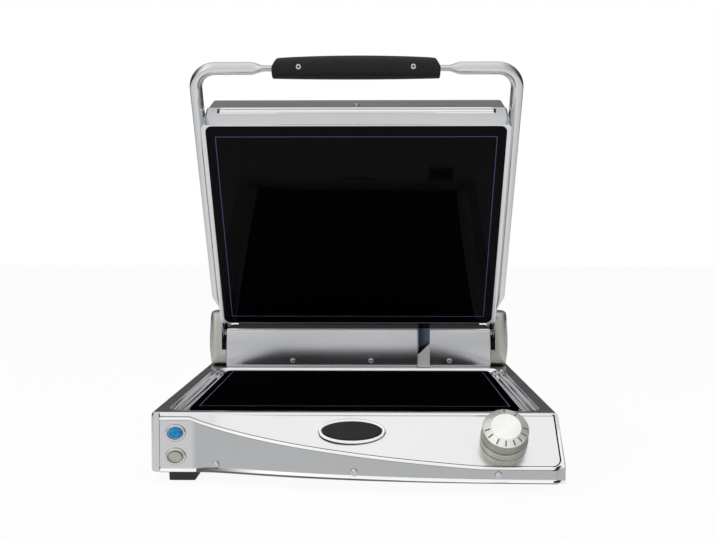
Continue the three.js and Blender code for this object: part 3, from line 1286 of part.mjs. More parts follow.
function terminalBlock() {
  const x = GLAND_PLACE - TERMINAL_WIDTH;
  const y = BACK_Y - TERMINAL_SETBACK;
  const floor = FLOOR_Z + SHEET + FIT;
  const block = box(x - TERMINAL_WIDTH / 2, x + TERMINAL_WIDTH / 2, y - TERMINAL_DEPTH / 2,
    y + TERMINAL_DEPTH / 2, floor, floor + TERMINAL_HEIGHT);
  const wells = [];
  const first = (1 - TERMINAL_WELLS) / 2;
  for (let i = 0; i < TERMINAL_WELLS; i += 1) {
    const place = x + ((first + i) * TERMINAL_WIDTH) / TERMINAL_WELLS;
    const well = upright(ellipse(TERMINAL_WELL_RADIUS, TERMINAL_WELL_RADIUS),
      floor + TERMINAL_HEIGHT / 2, floor + TERMINAL_HEIGHT + OVERRUN);
    wells.push(well.translate(place, y, 0));
  }
  return cut(block, ...wells);
}

// Finishes

const finish = (color, roughness, metalness) => ({ color, roughness, metalness });
const POLISHED = finish('#c8cacc', 0.18, 1);
const SATIN = finish('#b2b4b6', 0.35, 1);
const PANEL = finish('#ececec', 0.25, 1);
const CAST = finish('#a3a49c', 0.45, 0.9);
const BLACK_GLASS = finish('#050507', 0.05, 0);
const BLACK_PLASTIC = finish('#1c1c1c', 0.6, 0);
const RUBBER = finish('#3a393e', 0.85, 0);
const LENS = finish('#1d86d0', 0.25, 0);
const CERAMIC = finish('#d8d2c2', 0.9, 0);
const STEEL = finish('#8d8f92', 0.4, 1);

function piece(name, geometry, look) {
  const mesh = new THREE.Mesh(geometry, new THREE.MeshStandardMaterial(look));
  mesh.name = name;
  return mesh;
}

const mirrored = (geometry) => fromSolid(toSolid(geometry).mirror([1, 0, 0]));

// Assembly

const grill = new THREE.Group();

function addBase() {
  grill.add(piece('base_shell', baseShell(), SATIN));
  grill.add(piece('bottom_plate', bottomPlate(), STEEL));
  grill.add(piece('front_cover', frontCover(), SATIN));
  grill.add(piece('control_panel', controlPanel(), PANEL));
  grill.add(piece('gutter_tray', gutterTray(), POLISHED));
  const side = HALF_BODY - FOOT_SIDE_INSET - FOOT_TOP / 2;
  const front = FRONT_Y + FOOT_FRONT_INSET + FOOT_TOP / 2;
  const back = BACK_Y - FOOT_REAR_INSET - FOOT_TOP / 2;
  grill.add(piece('foot_front_left', foot(-side, front), RUBBER));
  grill.add(piece('foot_front_right', foot(side, front), RUBBER));
  grill.add(piece('foot_rear_left', foot(-side, back), RUBBER));
  grill.add(piece('foot_rear_right', foot(side, back), RUBBER));
  frontScrewPlaces().forEach((x, i) => {
    const placed = squareToFront(screw(), x, FLOOR_Z + FRONT_SCREW_HEIGHT);
    grill.add(piece(`front_screw_${i + 1}`, placed, STEEL));
  });
  grill.add(piece('cable_gland', cableGland(), BLACK_PLASTIC));
  grill.add(piece('terminal_block', terminalBlock(), CERAMIC));
}

function addLowerHeater() {
  const under = -GLASS_THICKNESS;
  grill.add(piece('lower_glass', glassPlate(HALF_GLASS, under, 0), BLACK_GLASS));
  grill.add(piece('lower_gasket', glassRing(HALF_GLASS, under - FIT / 2 - GASKET_THICKNESS,
    under - FIT / 2), RUBBER));
  const panTop = -TRAY_DEPTH - THIN_SHEET - FIT;
  grill.add(piece('lower_heater_pan', heaterPan(HALF_GLASS, panTop), STEEL));
  grill.add(piece('lower_insulation', insulation(HALF_GLASS, panTop), CERAMIC));
  grill.add(piece('lower_element', heatingElement(HALF_GLASS, panTop), STEEL));
}

function addControls() {
  grill.add(piece('power_bezel', buttonBezel(POWER_DROP), POLISHED));
  grill.add(piece('timer_bezel', buttonBezel(TIMER_DROP), POLISHED));
  grill.add(piece('power_button', pushButton(POWER_DROP, POWER_CROWN), LENS));
  grill.add(piece('timer_button', pushButton(TIMER_DROP, TIMER_CROWN), CAST));
  grill.add(piece('dial_ring', dialRing(), CAST));
  grill.add(piece('dial', dial(), CAST));
  grill.add(piece('dial_shaft', dialShaft(), STEEL));
  grill.add(piece('thermostat', thermostat(), CERAMIC));
  grill.add(piece('badge_ring', badgeRing(), POLISHED));
  grill.add(piece('badge_plate', badgePlate(), BLACK_PLASTIC));
}

function addHinge() {
  grill.add(piece('hinge_cover', hingeCover(), POLISHED));
  wallScrewPlaces().forEach((x, i) => {
    const placed = screw().translate(x, COVER_FRONT_Y, WALL_SCREW_HEIGHT);
    grill.add(piece(`cover_screw_${i + 1}`, placed, STEEL));
  });
  grill.add(piece('hinge_pod_left', hingePod(), CAST));
  grill.add(piece('hinge_pod_right', mirrored(hingePod()), CAST));
  grill.add(piece('lift_spring_left', liftSpring(-1), STEEL));
  grill.add(piece('lift_spring_right', liftSpring(1), STEEL));
  grill.add(piece('lead_guard', leadGuard(), POLISHED));
}

function addArms(swing) {
  swing.add(piece('hinge_shaft', hingeShaft(), STEEL));
  swing.add(piece('arm_left', arm(), POLISHED));
  swing.add(piece('arm_right', mirrored(arm()), POLISHED));
  swing.add(piece('grip', grip(), BLACK_PLASTIC));
  swing.add(piece('grip_screw_left', gripScrew(-1), STEEL));
  swing.add(piece('grip_screw_right', gripScrew(1), STEEL));
}

// The lid's heater is the base's, turned over onto the lid's glass
function addLid(swing) {
  const lid = new THREE.Group();
  lid.position.set(0, -HINGE_Y, -HINGE_HEIGHT);
  lid.add(piece('lid_frame', lidFrame(), POLISHED));
  lid.add(piece('lid_hood', lidHood(), SATIN));
  const top = LID_Z + GLASS_THICKNESS;
  lid.add(piece('upper_glass', glassPlate(HALF_LID_GLASS, LID_Z, top), BLACK_GLASS));
  lid.add(piece('upper_gasket', glassRing(HALF_LID_GLASS, top + FIT,
    top + FIT + GASKET_THICKNESS), RUBBER));
  const panTop = top + FIT + GASKET_THICKNESS + FIT;
  const flipped = (geometry) => fromSolid(toSolid(geometry).mirror([0, 0, 1]));
  lid.add(piece('upper_heater_pan', flipped(heaterPan(HALF_LID_GLASS, -panTop)), STEEL));
  lid.add(piece('upper_insulation', flipped(insulation(HALF_LID_GLASS, -panTop)), CERAMIC));
  lid.add(piece('upper_element', flipped(heatingElement(HALF_LID_GLASS, -panTop)), STEEL));
  lid.add(piece('lid_screw', lidScrewPlaced(screw()), STEEL));
  lid.add(piece('pivot_pin_left', pivotPin(), STEEL));
  lid.add(piece('pivot_pin_right', mirrored(pivotPin()), STEEL));
  swing.add(lid);
}

const swing = new THREE.Group();
swing.position.set(0, HINGE_Y, HINGE_HEIGHT);
swing.rotation.x = -OPEN;

addBase();
addLowerHeater();
addControls();
addHinge();
addArms(swing);
addLid(swing);
grill.add(swing);

// The dial's rim reaches furthest to the front, the body's back furthest to the rear
const dialReach = new THREE.Vector3(0, -DIAL_RADIUS, DIAL_RING_HEIGHT + RUNNING + DIAL_HEIGHT);
const frontReach = dialReach.applyMatrix4(dialFrame).y;
const backReach = BACK_Y + GLAND_LENGTH - SHEET;
grill.position.set(0, -(frontReach + backReach) / 2, -TABLE_Z);

export default grill;
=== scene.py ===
import json
import math
import bmesh
import bpy
from mathutils import Matrix, Vector


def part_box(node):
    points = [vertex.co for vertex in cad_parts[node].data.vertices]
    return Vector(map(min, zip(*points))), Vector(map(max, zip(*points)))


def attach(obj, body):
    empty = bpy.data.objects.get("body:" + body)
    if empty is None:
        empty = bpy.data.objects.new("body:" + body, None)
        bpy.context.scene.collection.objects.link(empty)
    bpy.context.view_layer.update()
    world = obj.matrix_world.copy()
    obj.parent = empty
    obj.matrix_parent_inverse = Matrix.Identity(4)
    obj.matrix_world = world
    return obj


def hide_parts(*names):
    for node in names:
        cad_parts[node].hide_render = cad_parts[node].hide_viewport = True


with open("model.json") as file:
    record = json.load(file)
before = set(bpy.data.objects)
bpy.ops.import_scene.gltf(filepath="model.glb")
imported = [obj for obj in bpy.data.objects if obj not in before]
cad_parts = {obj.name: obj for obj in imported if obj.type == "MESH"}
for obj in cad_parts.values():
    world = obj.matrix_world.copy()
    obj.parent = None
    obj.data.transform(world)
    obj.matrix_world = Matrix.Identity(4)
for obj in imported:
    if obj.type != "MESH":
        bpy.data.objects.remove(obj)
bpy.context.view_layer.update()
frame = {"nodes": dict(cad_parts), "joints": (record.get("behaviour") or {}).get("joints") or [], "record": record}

MM = 0.001

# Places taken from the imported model
SLOTS = {part["node"]: part["material_slot"] for part in frame["record"]["subparts"]}
BODY_OF = {node: body for body, members in frame["record"]["behaviour"]["bodies"].items()
           for node in members}
JOINTS = {joint["name"]: joint for joint in frame["joints"]}
HINGE = Vector(JOINTS["arm_swing"]["pos_m"])
OPEN = math.radians(max(JOINTS["arm_swing"]["range_deg"]))
SWING = Matrix.Translation(HINGE) @ Matrix.Rotation(-OPEN, 4, "X")
LID_OPEN = SWING @ Matrix.Translation(-HINGE)
GLASS_LOW, GLASS_HIGH = (Vector(corner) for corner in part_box("lower_glass"))

# The zone printed on each glass
ZONE_HALF = 158 * MM
ZONE_DEPTH = 249 * MM
ZONE_FRONT = GLASS_LOW.y + 12.7 * MM
ZONE_LINE = 0.9 * MM

# Where the painted highlight, a lighter field round the buttons, ends, and how softly
PAINTED_LIGHT_END = -158 * MM
PAINTED_LIGHT_FADE = 4 * MM


# Shader nodes

class Graph:
    """Short ways to add nodes to a node tree."""

    def __init__(self, tree):
        self.nodes = tree.nodes
        self.links = tree.links

    def feed(self, socket, value):
        """Links another node's output to the socket, or sets a plain value on it."""
        if isinstance(value, bpy.types.NodeSocket):
            self.links.new(value, socket)
        else:
            socket.default_value = value

    def add(self, kind, inputs):
        node = self.nodes.new(kind)
        for name, value in inputs.items():
            self.feed(node.inputs[name], value)
        return node

    def parts(self, place):
        """The X, Y and Z of a place, each an output."""
        return self.add("ShaderNodeSeparateXYZ", {0: place}).outputs

    def maths(self, operation, *values):
        node = self.nodes.new("ShaderNodeMath")
        node.operation = operation
        for socket, value in zip(node.inputs, values):
            self.feed(socket, value)
        return node.outputs[0]

    def ranged(self, value, source, target=(0.0, 1.0), smooth=False):
        """Maps a value from the source range to the target range."""
        node = self.add("ShaderNodeMapRange", {"Value": value})
        if smooth:
            node.interpolation_type = "SMOOTHSTEP"
        for name, number in zip(("From Min", "From Max", "To Min", "To Max"), (*source, *target)):
            node.inputs[name].default_value = number
        return node.outputs["Result"]

    def mixed(self, share, first, second):
        """Colour between two others."""
        node = self.nodes.new("ShaderNodeMix")
        node.data_type = "RGBA"
        for name, value in (("Factor", share), ("A", first), ("B", second)):
            self.feed(node.inputs[name], value)
        return node.outputs["Result"]

    def greys(self, value, stops):
        """Grey looked up on a colour ramp with the given stops of place and grey."""
        node = self.add("ShaderNodeValToRGB", {0: value})
        elements = node.color_ramp.elements
        while len(elements) > 1:
            elements.remove(elements[-1])
        elements[0].position = stops[0][0]
        elements[0].color = (stops[0][1],) * 3 + (1,)
        for place, grey in stops[1:]:
            elements.new(place).color = (grey, grey, grey, 1)
        return node.outputs[0]


def linear(hex_colour):
    channels = [int(hex_colour[i:i + 2], 16) / 255 for i in (1, 3, 5)]
    return tuple(c / 12.92 if c <= 0.04045 else ((c + 0.055) / 1.055) ** 2.4 for c in channels)


def plain_material(name, colour, roughness, metallic):
    material = bpy.data.materials.new(name)
    material.use_nodes = True
    shader = material.node_tree.nodes["Principled BSDF"]
    shader.inputs["Base Color"].default_value = colour + (1,)
    shader.inputs["Roughness"].default_value = roughness
    shader.inputs["Metallic"].default_value = metallic
    return material


# Camera, light and surroundings

def photo_camera():
    camera = bpy.data.objects.new("photo_camera", bpy.data.cameras.new("photo_camera"))
    bpy.context.scene.collection.objects.link(camera)
    pitch, turn = 87.749, 0.803
    camera.data.lens = 50
    camera.data.sensor_width = 36
    camera.data.clip_start = 0.05
    camera.location = (0.01791, -1.160115, 0.24884)
    camera.rotation_euler = (math.radians(pitch), 0, math.radians(turn))
    bpy.context.scene.camera = camera


def soft_box(name, place, target, width, height, power):
    lamp = bpy.data.lights.new(name, "AREA")
    lamp.shape = "RECTANGLE"
    lamp.size, lamp.size_y = width, height
    lamp.energy = power
    holder = bpy.data.objects.new(name, lamp)
    holder.location = place
    aim = Vector(target) - Vector(place)
    holder.rotation_euler = aim.to_track_quat("-Z", "Y").to_euler()
    holder.visible_glossy = False
    bpy.context.scene.collection.objects.link(holder)


def lamps():
    soft_box("overhead", (0.0, -0.25, 1.7), (0, 0.05, 0.1), 1.6, 1.2, 9)
    soft_box("front_left", (-1.5, -1.5, 1.1), (0, 0, 0.15), 1.1, 1.1, 5)
    soft_box("front_right", (1.6, -1.3, 0.9), (0, 0, 0.15), 0.9, 1.1, 3)


def surroundings():
    """White straight to the camera, and shaded by direction for all other light."""
    behind_stops = ((0.0, 0.01), (0.1, 0.012), (0.13, 0.055), (0.2, 0.07), (0.3, 0.1), (0.52, 0.2),
                    (0.64, 0.29), (0.74, 0.55), (0.84, 0.9), (1.0, 1.08))
    ahead_stops = ((0.0, 0.9), (0.4, 0.92), (0.8, 1.0), (1.0, 1.08))
    across_stops = ((0.0, 0.3), (0.05, 0.7), (0.1, 1.2), (0.2, 1.5), (0.33, 1.15), (0.42, 1.0),
                    (0.62, 1.0), (0.76, 0.75), (0.9, 0.6), (1.0, 0.3))
    world = bpy.data.worlds.new("white_studio")
    bpy.context.scene.world = world
    world.use_nodes = True
    world.node_tree.nodes.clear()
    graph = Graph(world.node_tree)
    direction = graph.parts(graph.nodes.new("ShaderNodeTexCoord").outputs["Generated"])
    behind = graph.greys(direction["Z"], behind_stops)
    ahead = graph.greys(direction["Z"], ahead_stops)
    shade = graph.mixed(graph.ranged(direction["Y"], (0.1, -0.7), smooth=True), behind, ahead)
    across = graph.greys(graph.ranged(direction["X"], (-1.0, 1.0)), across_stops)
    dimmed = graph.nodes.new("ShaderNodeVectorMath")
    dimmed.operation = "SCALE"
    graph.feed(dimmed.inputs[0], shade)
    graph.feed(dimmed.inputs["Scale"], across)
    straight = graph.nodes.new("ShaderNodeLightPath").outputs["Is Camera Ray"]
    colour = graph.mixed(straight, dimmed.outputs[0], (1, 1, 1, 1))
    background = graph.add("ShaderNodeBackground", {"Color": colour, "Strength": 1.0})
    graph.add("ShaderNodeOutputWorld", {"Surface": background.outputs[0]})
    bpy.context.scene.view_settings.view_transform = "Standard"


def pale_floor_finish():
    """White floor that keeps only a faint shadow, seen directly or in the metal."""
    material = plain_material("pale_floor", (0.82, 0.82, 0.82), 0.9, 0.0)
    graph = Graph(material.node_tree)
    seen = graph.nodes.new("ShaderNodeLightPath").outputs
    place = graph.nodes.new("ShaderNodeTexCoord").outputs["Object"]
    away = graph.maths("ABSOLUTE", graph.parts(place)["X"])
    fade = graph.ranged(away, (0.32, 0.6), (0.85, 0.2), smooth=True)
    reflected = graph.maths("MULTIPLY", seen["Is Glossy Ray"], fade)
    share = graph.maths("MULTIPLY_ADD", seen["Is Camera Ray"], 0.93, reflected)
    glow = graph.nodes.new("ShaderNodeEmission")
    lit = graph.nodes["Principled BSDF"]
    mix = graph.add("ShaderNodeMixShader", {0: share, 1: lit.outputs[0], 2: glow.outputs[0]})
    graph.links.new(mix.outputs[0], graph.nodes["Material Output"].inputs["Surface"])
    return material


def pale_floor():
    bm = bmesh.new()
    bmesh.ops.create_grid(bm, x_segments=1, y_segments=1, size=6)
    mesh = bpy.data.meshes.new("pale_floor")
    bm.to_mesh(mesh)
    bm.free()
    floor = bpy.data.objects.new("pale_floor", mesh)
    bpy.context.scene.collection.objects.link(floor)
    floor.data.materials.append(pale_floor_finish())


# Materials

class Surface(Graph):
    """A material under construction, with its principled shader and object coordinates."""

    def __init__(self, name, hex_colour, roughness, metallic):
        self.colour = linear(hex_colour)
        self.material = plain_material(name, self.colour, roughness, metallic)
        super().__init__(self.material.node_tree)
        self.shader = self.nodes["Principled BSDF"]
        self.place = self.nodes.new("ShaderNodeTexCoord").outputs["Object"]

    def mapped(self, scale, rotation=(0, 0, 0), location=(0, 0, 0)):
        inputs = {"Scale": scale, "Rotation": rotation, "Location": location, "Vector": self.place}
        return self.add("ShaderNodeMapping", inputs).outputs["Vector"]

    def noise(self, scale, detail, vector=None, roughness=0.5):
        place = self.place if vector is None else vector
        inputs = {"Scale": scale, "Detail": detail, "Roughness": roughness, "Vector": place}
        return self.add("ShaderNodeTexNoise", inputs).outputs["Fac"]

    def spread(self, value, low, high):
        """Stretches the part of its range that a noise really fills."""
        return self.ranged(value, (0.3, 0.7), (low, high))

    def tinted(self, value, dark, light):
        """Base colour between two shades by a value from 0 to 1."""
        self.links.new(self.mixed(value, dark + (1,), light + (1,)), self.shader.inputs["Base Color"])

    def mottled(self, noise, low, high):
        """Base colour between a darker and a lighter share of the surface's own."""
        dark, light = (tuple(channel * share for channel in self.colour) for share in (low, high))
        self.tinted(self.spread(noise, 0.0, 1.0), dark, light)

    def rough(self, value, low, high):
        self.links.new(self.spread(value, low, high), self.shader.inputs["Roughness"])

    def bump(self, value, depth, strength):
        node = self.add("ShaderNodeBump", {"Strength": strength, "Distance": depth, "Height": value})
        self.links.new(node.outputs["Normal"], self.shader.inputs["Normal"])


def brushed_steel(name, hex_colour, roughness, grain=(14, 1500, 1500)):
    """Sheet steel with fine grain along one direction and faint wipe marks."""
    surface = Surface(name, hex_colour, roughness, 1.0)
    lines = surface.noise(1.0, 4.0, surface.mapped(grain), 0.6)
    wipes = surface.noise(9.0, 2.0)
    surface.mottled(lines, 0.975, 1.01)
    blend = surface.maths("ADD", surface.maths("MULTIPLY", lines, 0.5), surface.maths("MULTIPLY", wipes, 0.5))
    surface.rough(blend, roughness * 0.85, roughness * 1.2)
    surface.bump(lines, 0.000006, 0.12)
    return surface.material


def front_steel_with_painted_light(name, hex_colour, painted_light_colour, roughness):
    """Brushed steel of the lower front, with a painted highlight: a lighter field round the buttons at its flat
    left end.
    """
    material = brushed_steel(name, hex_colour, roughness)
    graph = Graph(material.node_tree)
    base = graph.nodes["Principled BSDF"].inputs["Base Color"]
    grained = base.links[0].from_socket
    # Painted highlight: the lighter colour stands in for the light on the flat left end
    lighter = graph.mixed(0.85, grained, linear(painted_light_colour) + (1,))
    place = graph.parts(graph.nodes["Texture Coordinate"].outputs["Object"])
    share = graph.ranged(place["X"], (PAINTED_LIGHT_END - PAINTED_LIGHT_FADE, PAINTED_LIGHT_END + PAINTED_LIGHT_FADE), smooth=True)
    graph.links.new(graph.mixed(share, lighter, grained), base)
    return material


def painted_shading_steel(name, start, end, first_colour, last_colour, roughness):
    """Polished steel with painted shading: its colour passes from one shade to another between two places along X.
    """
    surface = Surface(name, last_colour, roughness, 1.0)
    share = surface.ranged(surface.parts(surface.place)["X"], (start, end), smooth=True)
    surface.tinted(share, linear(first_colour), surface.colour)
    surface.rough(surface.noise(18.0, 3.0), roughness * 0.8, roughness * 1.3)
    surface.bump(surface.noise(420.0, 2.0), 0.00001, 0.15)
    return surface.material


def polished_steel(name, hex_colour, roughness):
    """Bright steel with faint polishing marks and smears."""
    surface = Surface(name, hex_colour, roughness, 1.0)
    smears = surface.noise(14.0, 4.0)
    surface.mottled(smears, 0.95, 1.0)
    surface.rough(smears, roughness * 0.7, roughness * 1.4)
    surface.bump(surface.noise(420.0, 2.0), 0.00001, 0.15)
    return surface.material


def cast_metal(name, hex_colour, roughness):
    """Satin cast alloy with a fine blasted grain."""
    surface = Surface(name, hex_colour, roughness, 0.85)
    grain = surface.noise(1500.0, 3.0)
    surface.mottled(surface.noise(60.0, 3.0), 0.93, 1.04)
    surface.rough(grain, roughness * 0.85, roughness * 1.15)
    surface.bump(grain, 0.00004, 0.3)
    return surface.material


def moulded(name, hex_colour, roughness, grain=900.0, depth=0.00005):
    """Moulded plastic or rubber with a fine texture."""
    surface = Surface(name, hex_colour, roughness, 0.0)
    surface.shader.inputs["Specular IOR Level"].default_value = 0.3
    pebble = surface.noise(grain, 3.0)
    surface.mottled(surface.noise(45.0, 3.0), 0.85, 1.15)
    surface.rough(pebble, roughness * 0.85, min(1.0, roughness * 1.15))
    surface.bump(pebble, depth, 0.4)
    return surface.material


def cooking_glass(name, line_colour, index, on_lid):
    """Black glass with the thin printed border of the cooking zone."""
    surface = Surface(name, "#030304", 0.1, 0.0)
    surface.shader.inputs["IOR"].default_value = index
    place = surface.place
    if on_lid:
        turn = Matrix.Rotation(OPEN, 3, "X")
        place = surface.mapped((1, 1, 1), (OPEN, 0, 0), HINGE - turn @ HINGE)
    parts = surface.parts(place)
    across = surface.maths("SUBTRACT", surface.maths("ABSOLUTE", parts["X"]), ZONE_HALF)
    along = surface.maths("SUBTRACT", parts["Y"], ZONE_FRONT + ZONE_DEPTH / 2)
    along = surface.maths("SUBTRACT", surface.maths("ABSOLUTE", along), ZONE_DEPTH / 2)
    edge = surface.maths("ABSOLUTE", surface.maths("MAXIMUM", across, along))
    line = surface.maths("LESS_THAN", edge, ZONE_LINE / 2)
    surface.tinted(line, surface.colour, linear(line_colour))
    surface.rough(surface.noise(7.0, 4.0), 0.03, 0.07)
    return surface.material


def bright_lens(name):
    """Blue lens of the power button, mottled and slightly uneven."""
    surface = Surface(name, "#167CB4", 0.3, 0.0)
    surface.shader.inputs["Specular IOR Level"].default_value = 0.2
    cloud = surface.noise(260.0, 2.0)
    surface.mottled(cloud, 0.62, 1.45)
    surface.rough(cloud, 0.2, 0.4)
    surface.bump(surface.noise(700.0, 1.0), 0.00003, 0.2)
    return surface.material


def finishes():
    return {
        "shell": brushed_steel("shell_steel", "#D4D5D7", 0.26),
        "cover": brushed_steel("cover_steel", "#D6D7D9", 0.24),
        "front": front_steel_with_painted_light("front_steel_with_painted_light", "#B0B2B4", "#CDCDD0", 0.26),
        "frame": brushed_steel("lid_frame_steel", "#D7D8DA", 0.24),
        "hood": brushed_steel("lid_hood_steel", "#CECFD2", 0.22),
        "hinge": brushed_steel("hinge_cover_steel", "#BFC0C3", 0.145),
        "steel": brushed_steel("inner_steel", "#A9ABAE", 0.35),
        "screws": brushed_steel("screw_steel", "#C4C6C9", 0.2, (900, 900, 900)),
        "panel": polished_steel("panel_steel", "#EBEBEB", 0.22),
        "bright": polished_steel("bright_steel", "#F2F2F2", 0.12),
        "tray": polished_steel("tray_steel", "#F0F1F2", 0.08),
        "arms": polished_steel("arm_steel", "#D2D4D5", 0.16),
        "bezels": polished_steel("bezel_steel", "#CCCBC6", 0.16),
        # painted highlight: a brighter, smoother copy of the hinge cover's steel for its rolled edge
        "roll": polished_steel("rolled_edge_painted_highlight_steel", "#FAFAFA", 0.04),
        # painted shade: the hem is dark at its left and lighter towards the middle
        "hem": painted_shading_steel("hem_painted_shade_steel", -152 * MM, -78 * MM, "#505254", "#F2F2F2", 0.14),
        # painted reflection: dark steel for the lead guard's upper part, darker towards its left
        "guard_painted_reflection": painted_shading_steel("guard_painted_reflection_steel", 80 * MM, 92 * MM, "#232C36", "#46525E", 0.1),
        "guard_foot": cast_metal("guard_foot_steel", "#DCDCDC", 0.6),
        "cast": cast_metal("cast_alloy", "#B3B4AC", 0.3),
        "cap": cast_metal("cap_alloy", "#AAABA3", 0.4),
        "dial_cast": cast_metal("dial_alloy", "#ECECE6", 0.42),
        # painted highlight: a lighter copy of the dial alloy for its flat top
        "dial_painted_highlight": cast_metal("dial_painted_highlight_alloy", "#F2F2EE", 0.3),
        # painted shade: a darker copy of the dial alloy for its skirt
        "dial_painted_shade": cast_metal("dial_painted_shade_alloy", "#989890", 0.34),
        "dial_base": cast_metal("dial_base_alloy", "#B0B0A8", 0.28),
        "dial_marks": moulded("dial_mark_paint", "#66665F", 0.6),
        # painted shadow: dark finish for turned-under edges, undersides and the strip behind the hinge cover
        "shadow": moulded("painted_shadow_edge", "#626466", 0.6),
        "grip": moulded("grip_plastic", "#0B0B0B", 0.55, 700.0),
        "black_plastic": moulded("black_plastic", "#141414", 0.5),
        "feet": moulded("foot_rubber", "#3A393E", 0.8),
        "gaskets": moulded("gasket_rubber", "#2E2D31", 0.85),
        "ceramic": moulded("ceramic_fibre", "#D8D2C2", 0.95, 300.0, 0.0003),
        "lens": bright_lens("blue_lens"),
        "glass": cooking_glass("lower_cooking_glass", "#5E5C7A", 1.0005, False),
        "lid_glass": cooking_glass("upper_cooking_glass", "#474D6E", 1.15, True),
    }


def paint_nodes():
    """Gives every CAD node its finish. The nodes that nothing replaces show it."""
    for node in frame["nodes"]:
        mesh = frame["nodes"][node].data
        mesh.materials.clear()
        mesh.materials.append(FINISH["lid_glass" if node == "upper_glass" else SLOTS[node]])


# Making pieces

def made_object(name, bm, names, smooth, edge=0.0, segments=2):
    """Makes the bmesh an object with the named finishes, soft shading and rounded edges."""
    mesh = bpy.data.meshes.new(name)
    bm.to_mesh(mesh)
    bm.free()
    mesh.shade_smooth()
    mesh.set_sharp_from_angle(angle=math.radians(smooth))
    for finish in names:
        mesh.materials.append(FINISH[finish])
    holder = bpy.data.objects.new(name, mesh)
    bpy.context.scene.collection.objects.link(holder)
    if edge > 0:
        rounded = holder.modifiers.new("rounded_edges", "BEVEL")
        rounded.width = edge
        rounded.segments = segments
        rounded.limit_method = "ANGLE"
        rounded.angle_limit = math.radians(smooth)
        rounded.harden_normals = True
        rounded.use_clamp_overlap = True
    return holder


def finished(name, bm, nodes, names, smooth, edge=0.0, segments=2):
    """A piece that replaces CAD nodes and moves with their body."""
    holder = made_object(name, bm, names, smooth, edge, segments)
    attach(holder, BODY_OF[nodes[0]])
    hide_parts(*nodes)


def riding(name, bm, body, names, smooth):
    """A trim piece that no CAD node stands for."""
    holder = made_object(name, bm, names, smooth)
    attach(holder, body)


def merged_copy(node):
    """A copy of a CAD node's mesh with shared corners and whole flat faces."""
    bm = bmesh.new()
    bm.from_mesh(frame["nodes"][node].data)
    bmesh.ops.remove_doubles(bm, verts=bm.verts, dist=0.000005)
    bmesh.ops.dissolve_limit(bm, angle_limit=math.radians(1.0), verts=bm.verts, edges=bm.edges)
    return bm


def paint(bm, finish_at):
    """Numbers each face's finish by the x, y and z of its middle."""
    for face in bm.faces:
        face.material_index = finish_at(*face.calc_center_median())


def moved(bm, matrix):
    """Moves a bmesh, and turns its faces over where the matrix mirrors it."""
    bmesh.ops.transform(bm, matrix=matrix, verts=bm.verts)
    if matrix.determinant() < 0:
        bmesh.ops.reverse_faces(bm, faces=bm.faces)
    return bm


def joined(target, other):
    """Adds another bmesh's pieces to the target."""
    holder = bpy.data.meshes.new("joined")
    other.to_mesh(holder)
    other.free()
    target.from_mesh(holder)
    bpy.data.meshes.remove(holder)


def new_verts(made):
    return [item for item in made["geom"] if isinstance(item, bmesh.types.BMVert)]


def lofted(rows, closed=False):
    """Extrudes the first row of points through the others. A row is an outline of equally many points."""
    bm = bmesh.new()
    ring = [bm.verts.new(point) for point in rows[0]]
    edges = [bm.edges.new((a, b)) for a, b in zip(ring, ring[1:] + ring[:1])]
    first = list(edges)
    for row in rows[1:]:
        fresh = set(new_verts(bmesh.ops.extrude_edge_only(bm, edges=edges)))
        pairs = {}
        for old in ring:
            for edge in old.link_edges:
                other = edge.other_vert(old)
                if other in fresh:
                    pairs[old] = other
        ring = [pairs[old] for old in ring]
        for vert, point in zip(ring, row):
            vert.co = point
        edges = [bm.edges.get((a, b)) for a, b in zip(ring, ring[1:] + ring[:1])]
    if closed:
        bmesh.ops.bridge_loops(bm, edges=first + edges)
    else:
        bmesh.ops.contextual_create(bm, geom=first)
        bmesh.ops.contextual_create(bm, geom=edges)
    bmesh.ops.recalc_face_normals(bm, faces=bm.faces)
    return bm


def round_tube(places, count):
    """Extrudes a unit circle through a list of matrices and caps both ends."""
    circle = [Vector((math.cos(angle), math.sin(angle), 0)) for angle in whole_turn(count)]
    return lofted([[matrix @ point for point in circle] for matrix in places])


def spun(profile, steps):
    """A profile of radius and height turned round Z."""
    bm = bmesh.new()
    corners = [bm.verts.new((radius, 0, height)) for radius, height in profile]
    edges = [bm.edges.new(pair) for pair in zip(corners, corners[1:])]
    bmesh.ops.spin(bm, geom=corners + edges, cent=(0, 0, 0), axis=(0, 0, 1), angle=2 * math.pi,
                   steps=steps, use_merge=True)
    bmesh.ops.remove_doubles(bm, verts=bm.verts, dist=0.0001)
    bmesh.ops.recalc_face_normals(bm, faces=bm.faces)
    return bm


def slab(outline, shift):
    """A flat outline made thick by a copy of it some way off."""
    bm = bmesh.new()
    face = bm.faces.new([bm.verts.new(point) for point in outline])
    made = bmesh.ops.extrude_face_region(bm, geom=[face])
    bmesh.ops.translate(bm, vec=shift, verts=new_verts(made))
    bmesh.ops.recalc_face_normals(bm, faces=bm.faces)
    return bm


def block(width, depth, height, rounding):
    """A box round the origin with finely rounded edges."""
    bm = bmesh.new()
    bmesh.ops.create_cube(bm, size=1, matrix=Matrix.Diagonal((width, depth, height, 1)))
    bmesh.ops.bevel(bm, geom=bm.edges, offset=rounding, segments=2, profile=0.5, affect="EDGES",
                    material=-1)
    return bm


# Curves and outlines

def eased(share):
    """Soft step from 0 to 1, level on both sides."""
    share = max(0.0, min(1.0, share))
    return share * share * (3 - 2 * share)


def stations(start, end, count):
    return [start + (end - start) * i / count for i in range(count + 1)]


def quarter_turn(count):
    """Angles from 0 to a right angle, both included."""
    return [math.pi / 2 * i / count for i in range(count + 1)]


def whole_turn(count):
    """Angles round a circle, the last one step before the first."""
    return [2 * math.pi * i / count for i in range(count)]


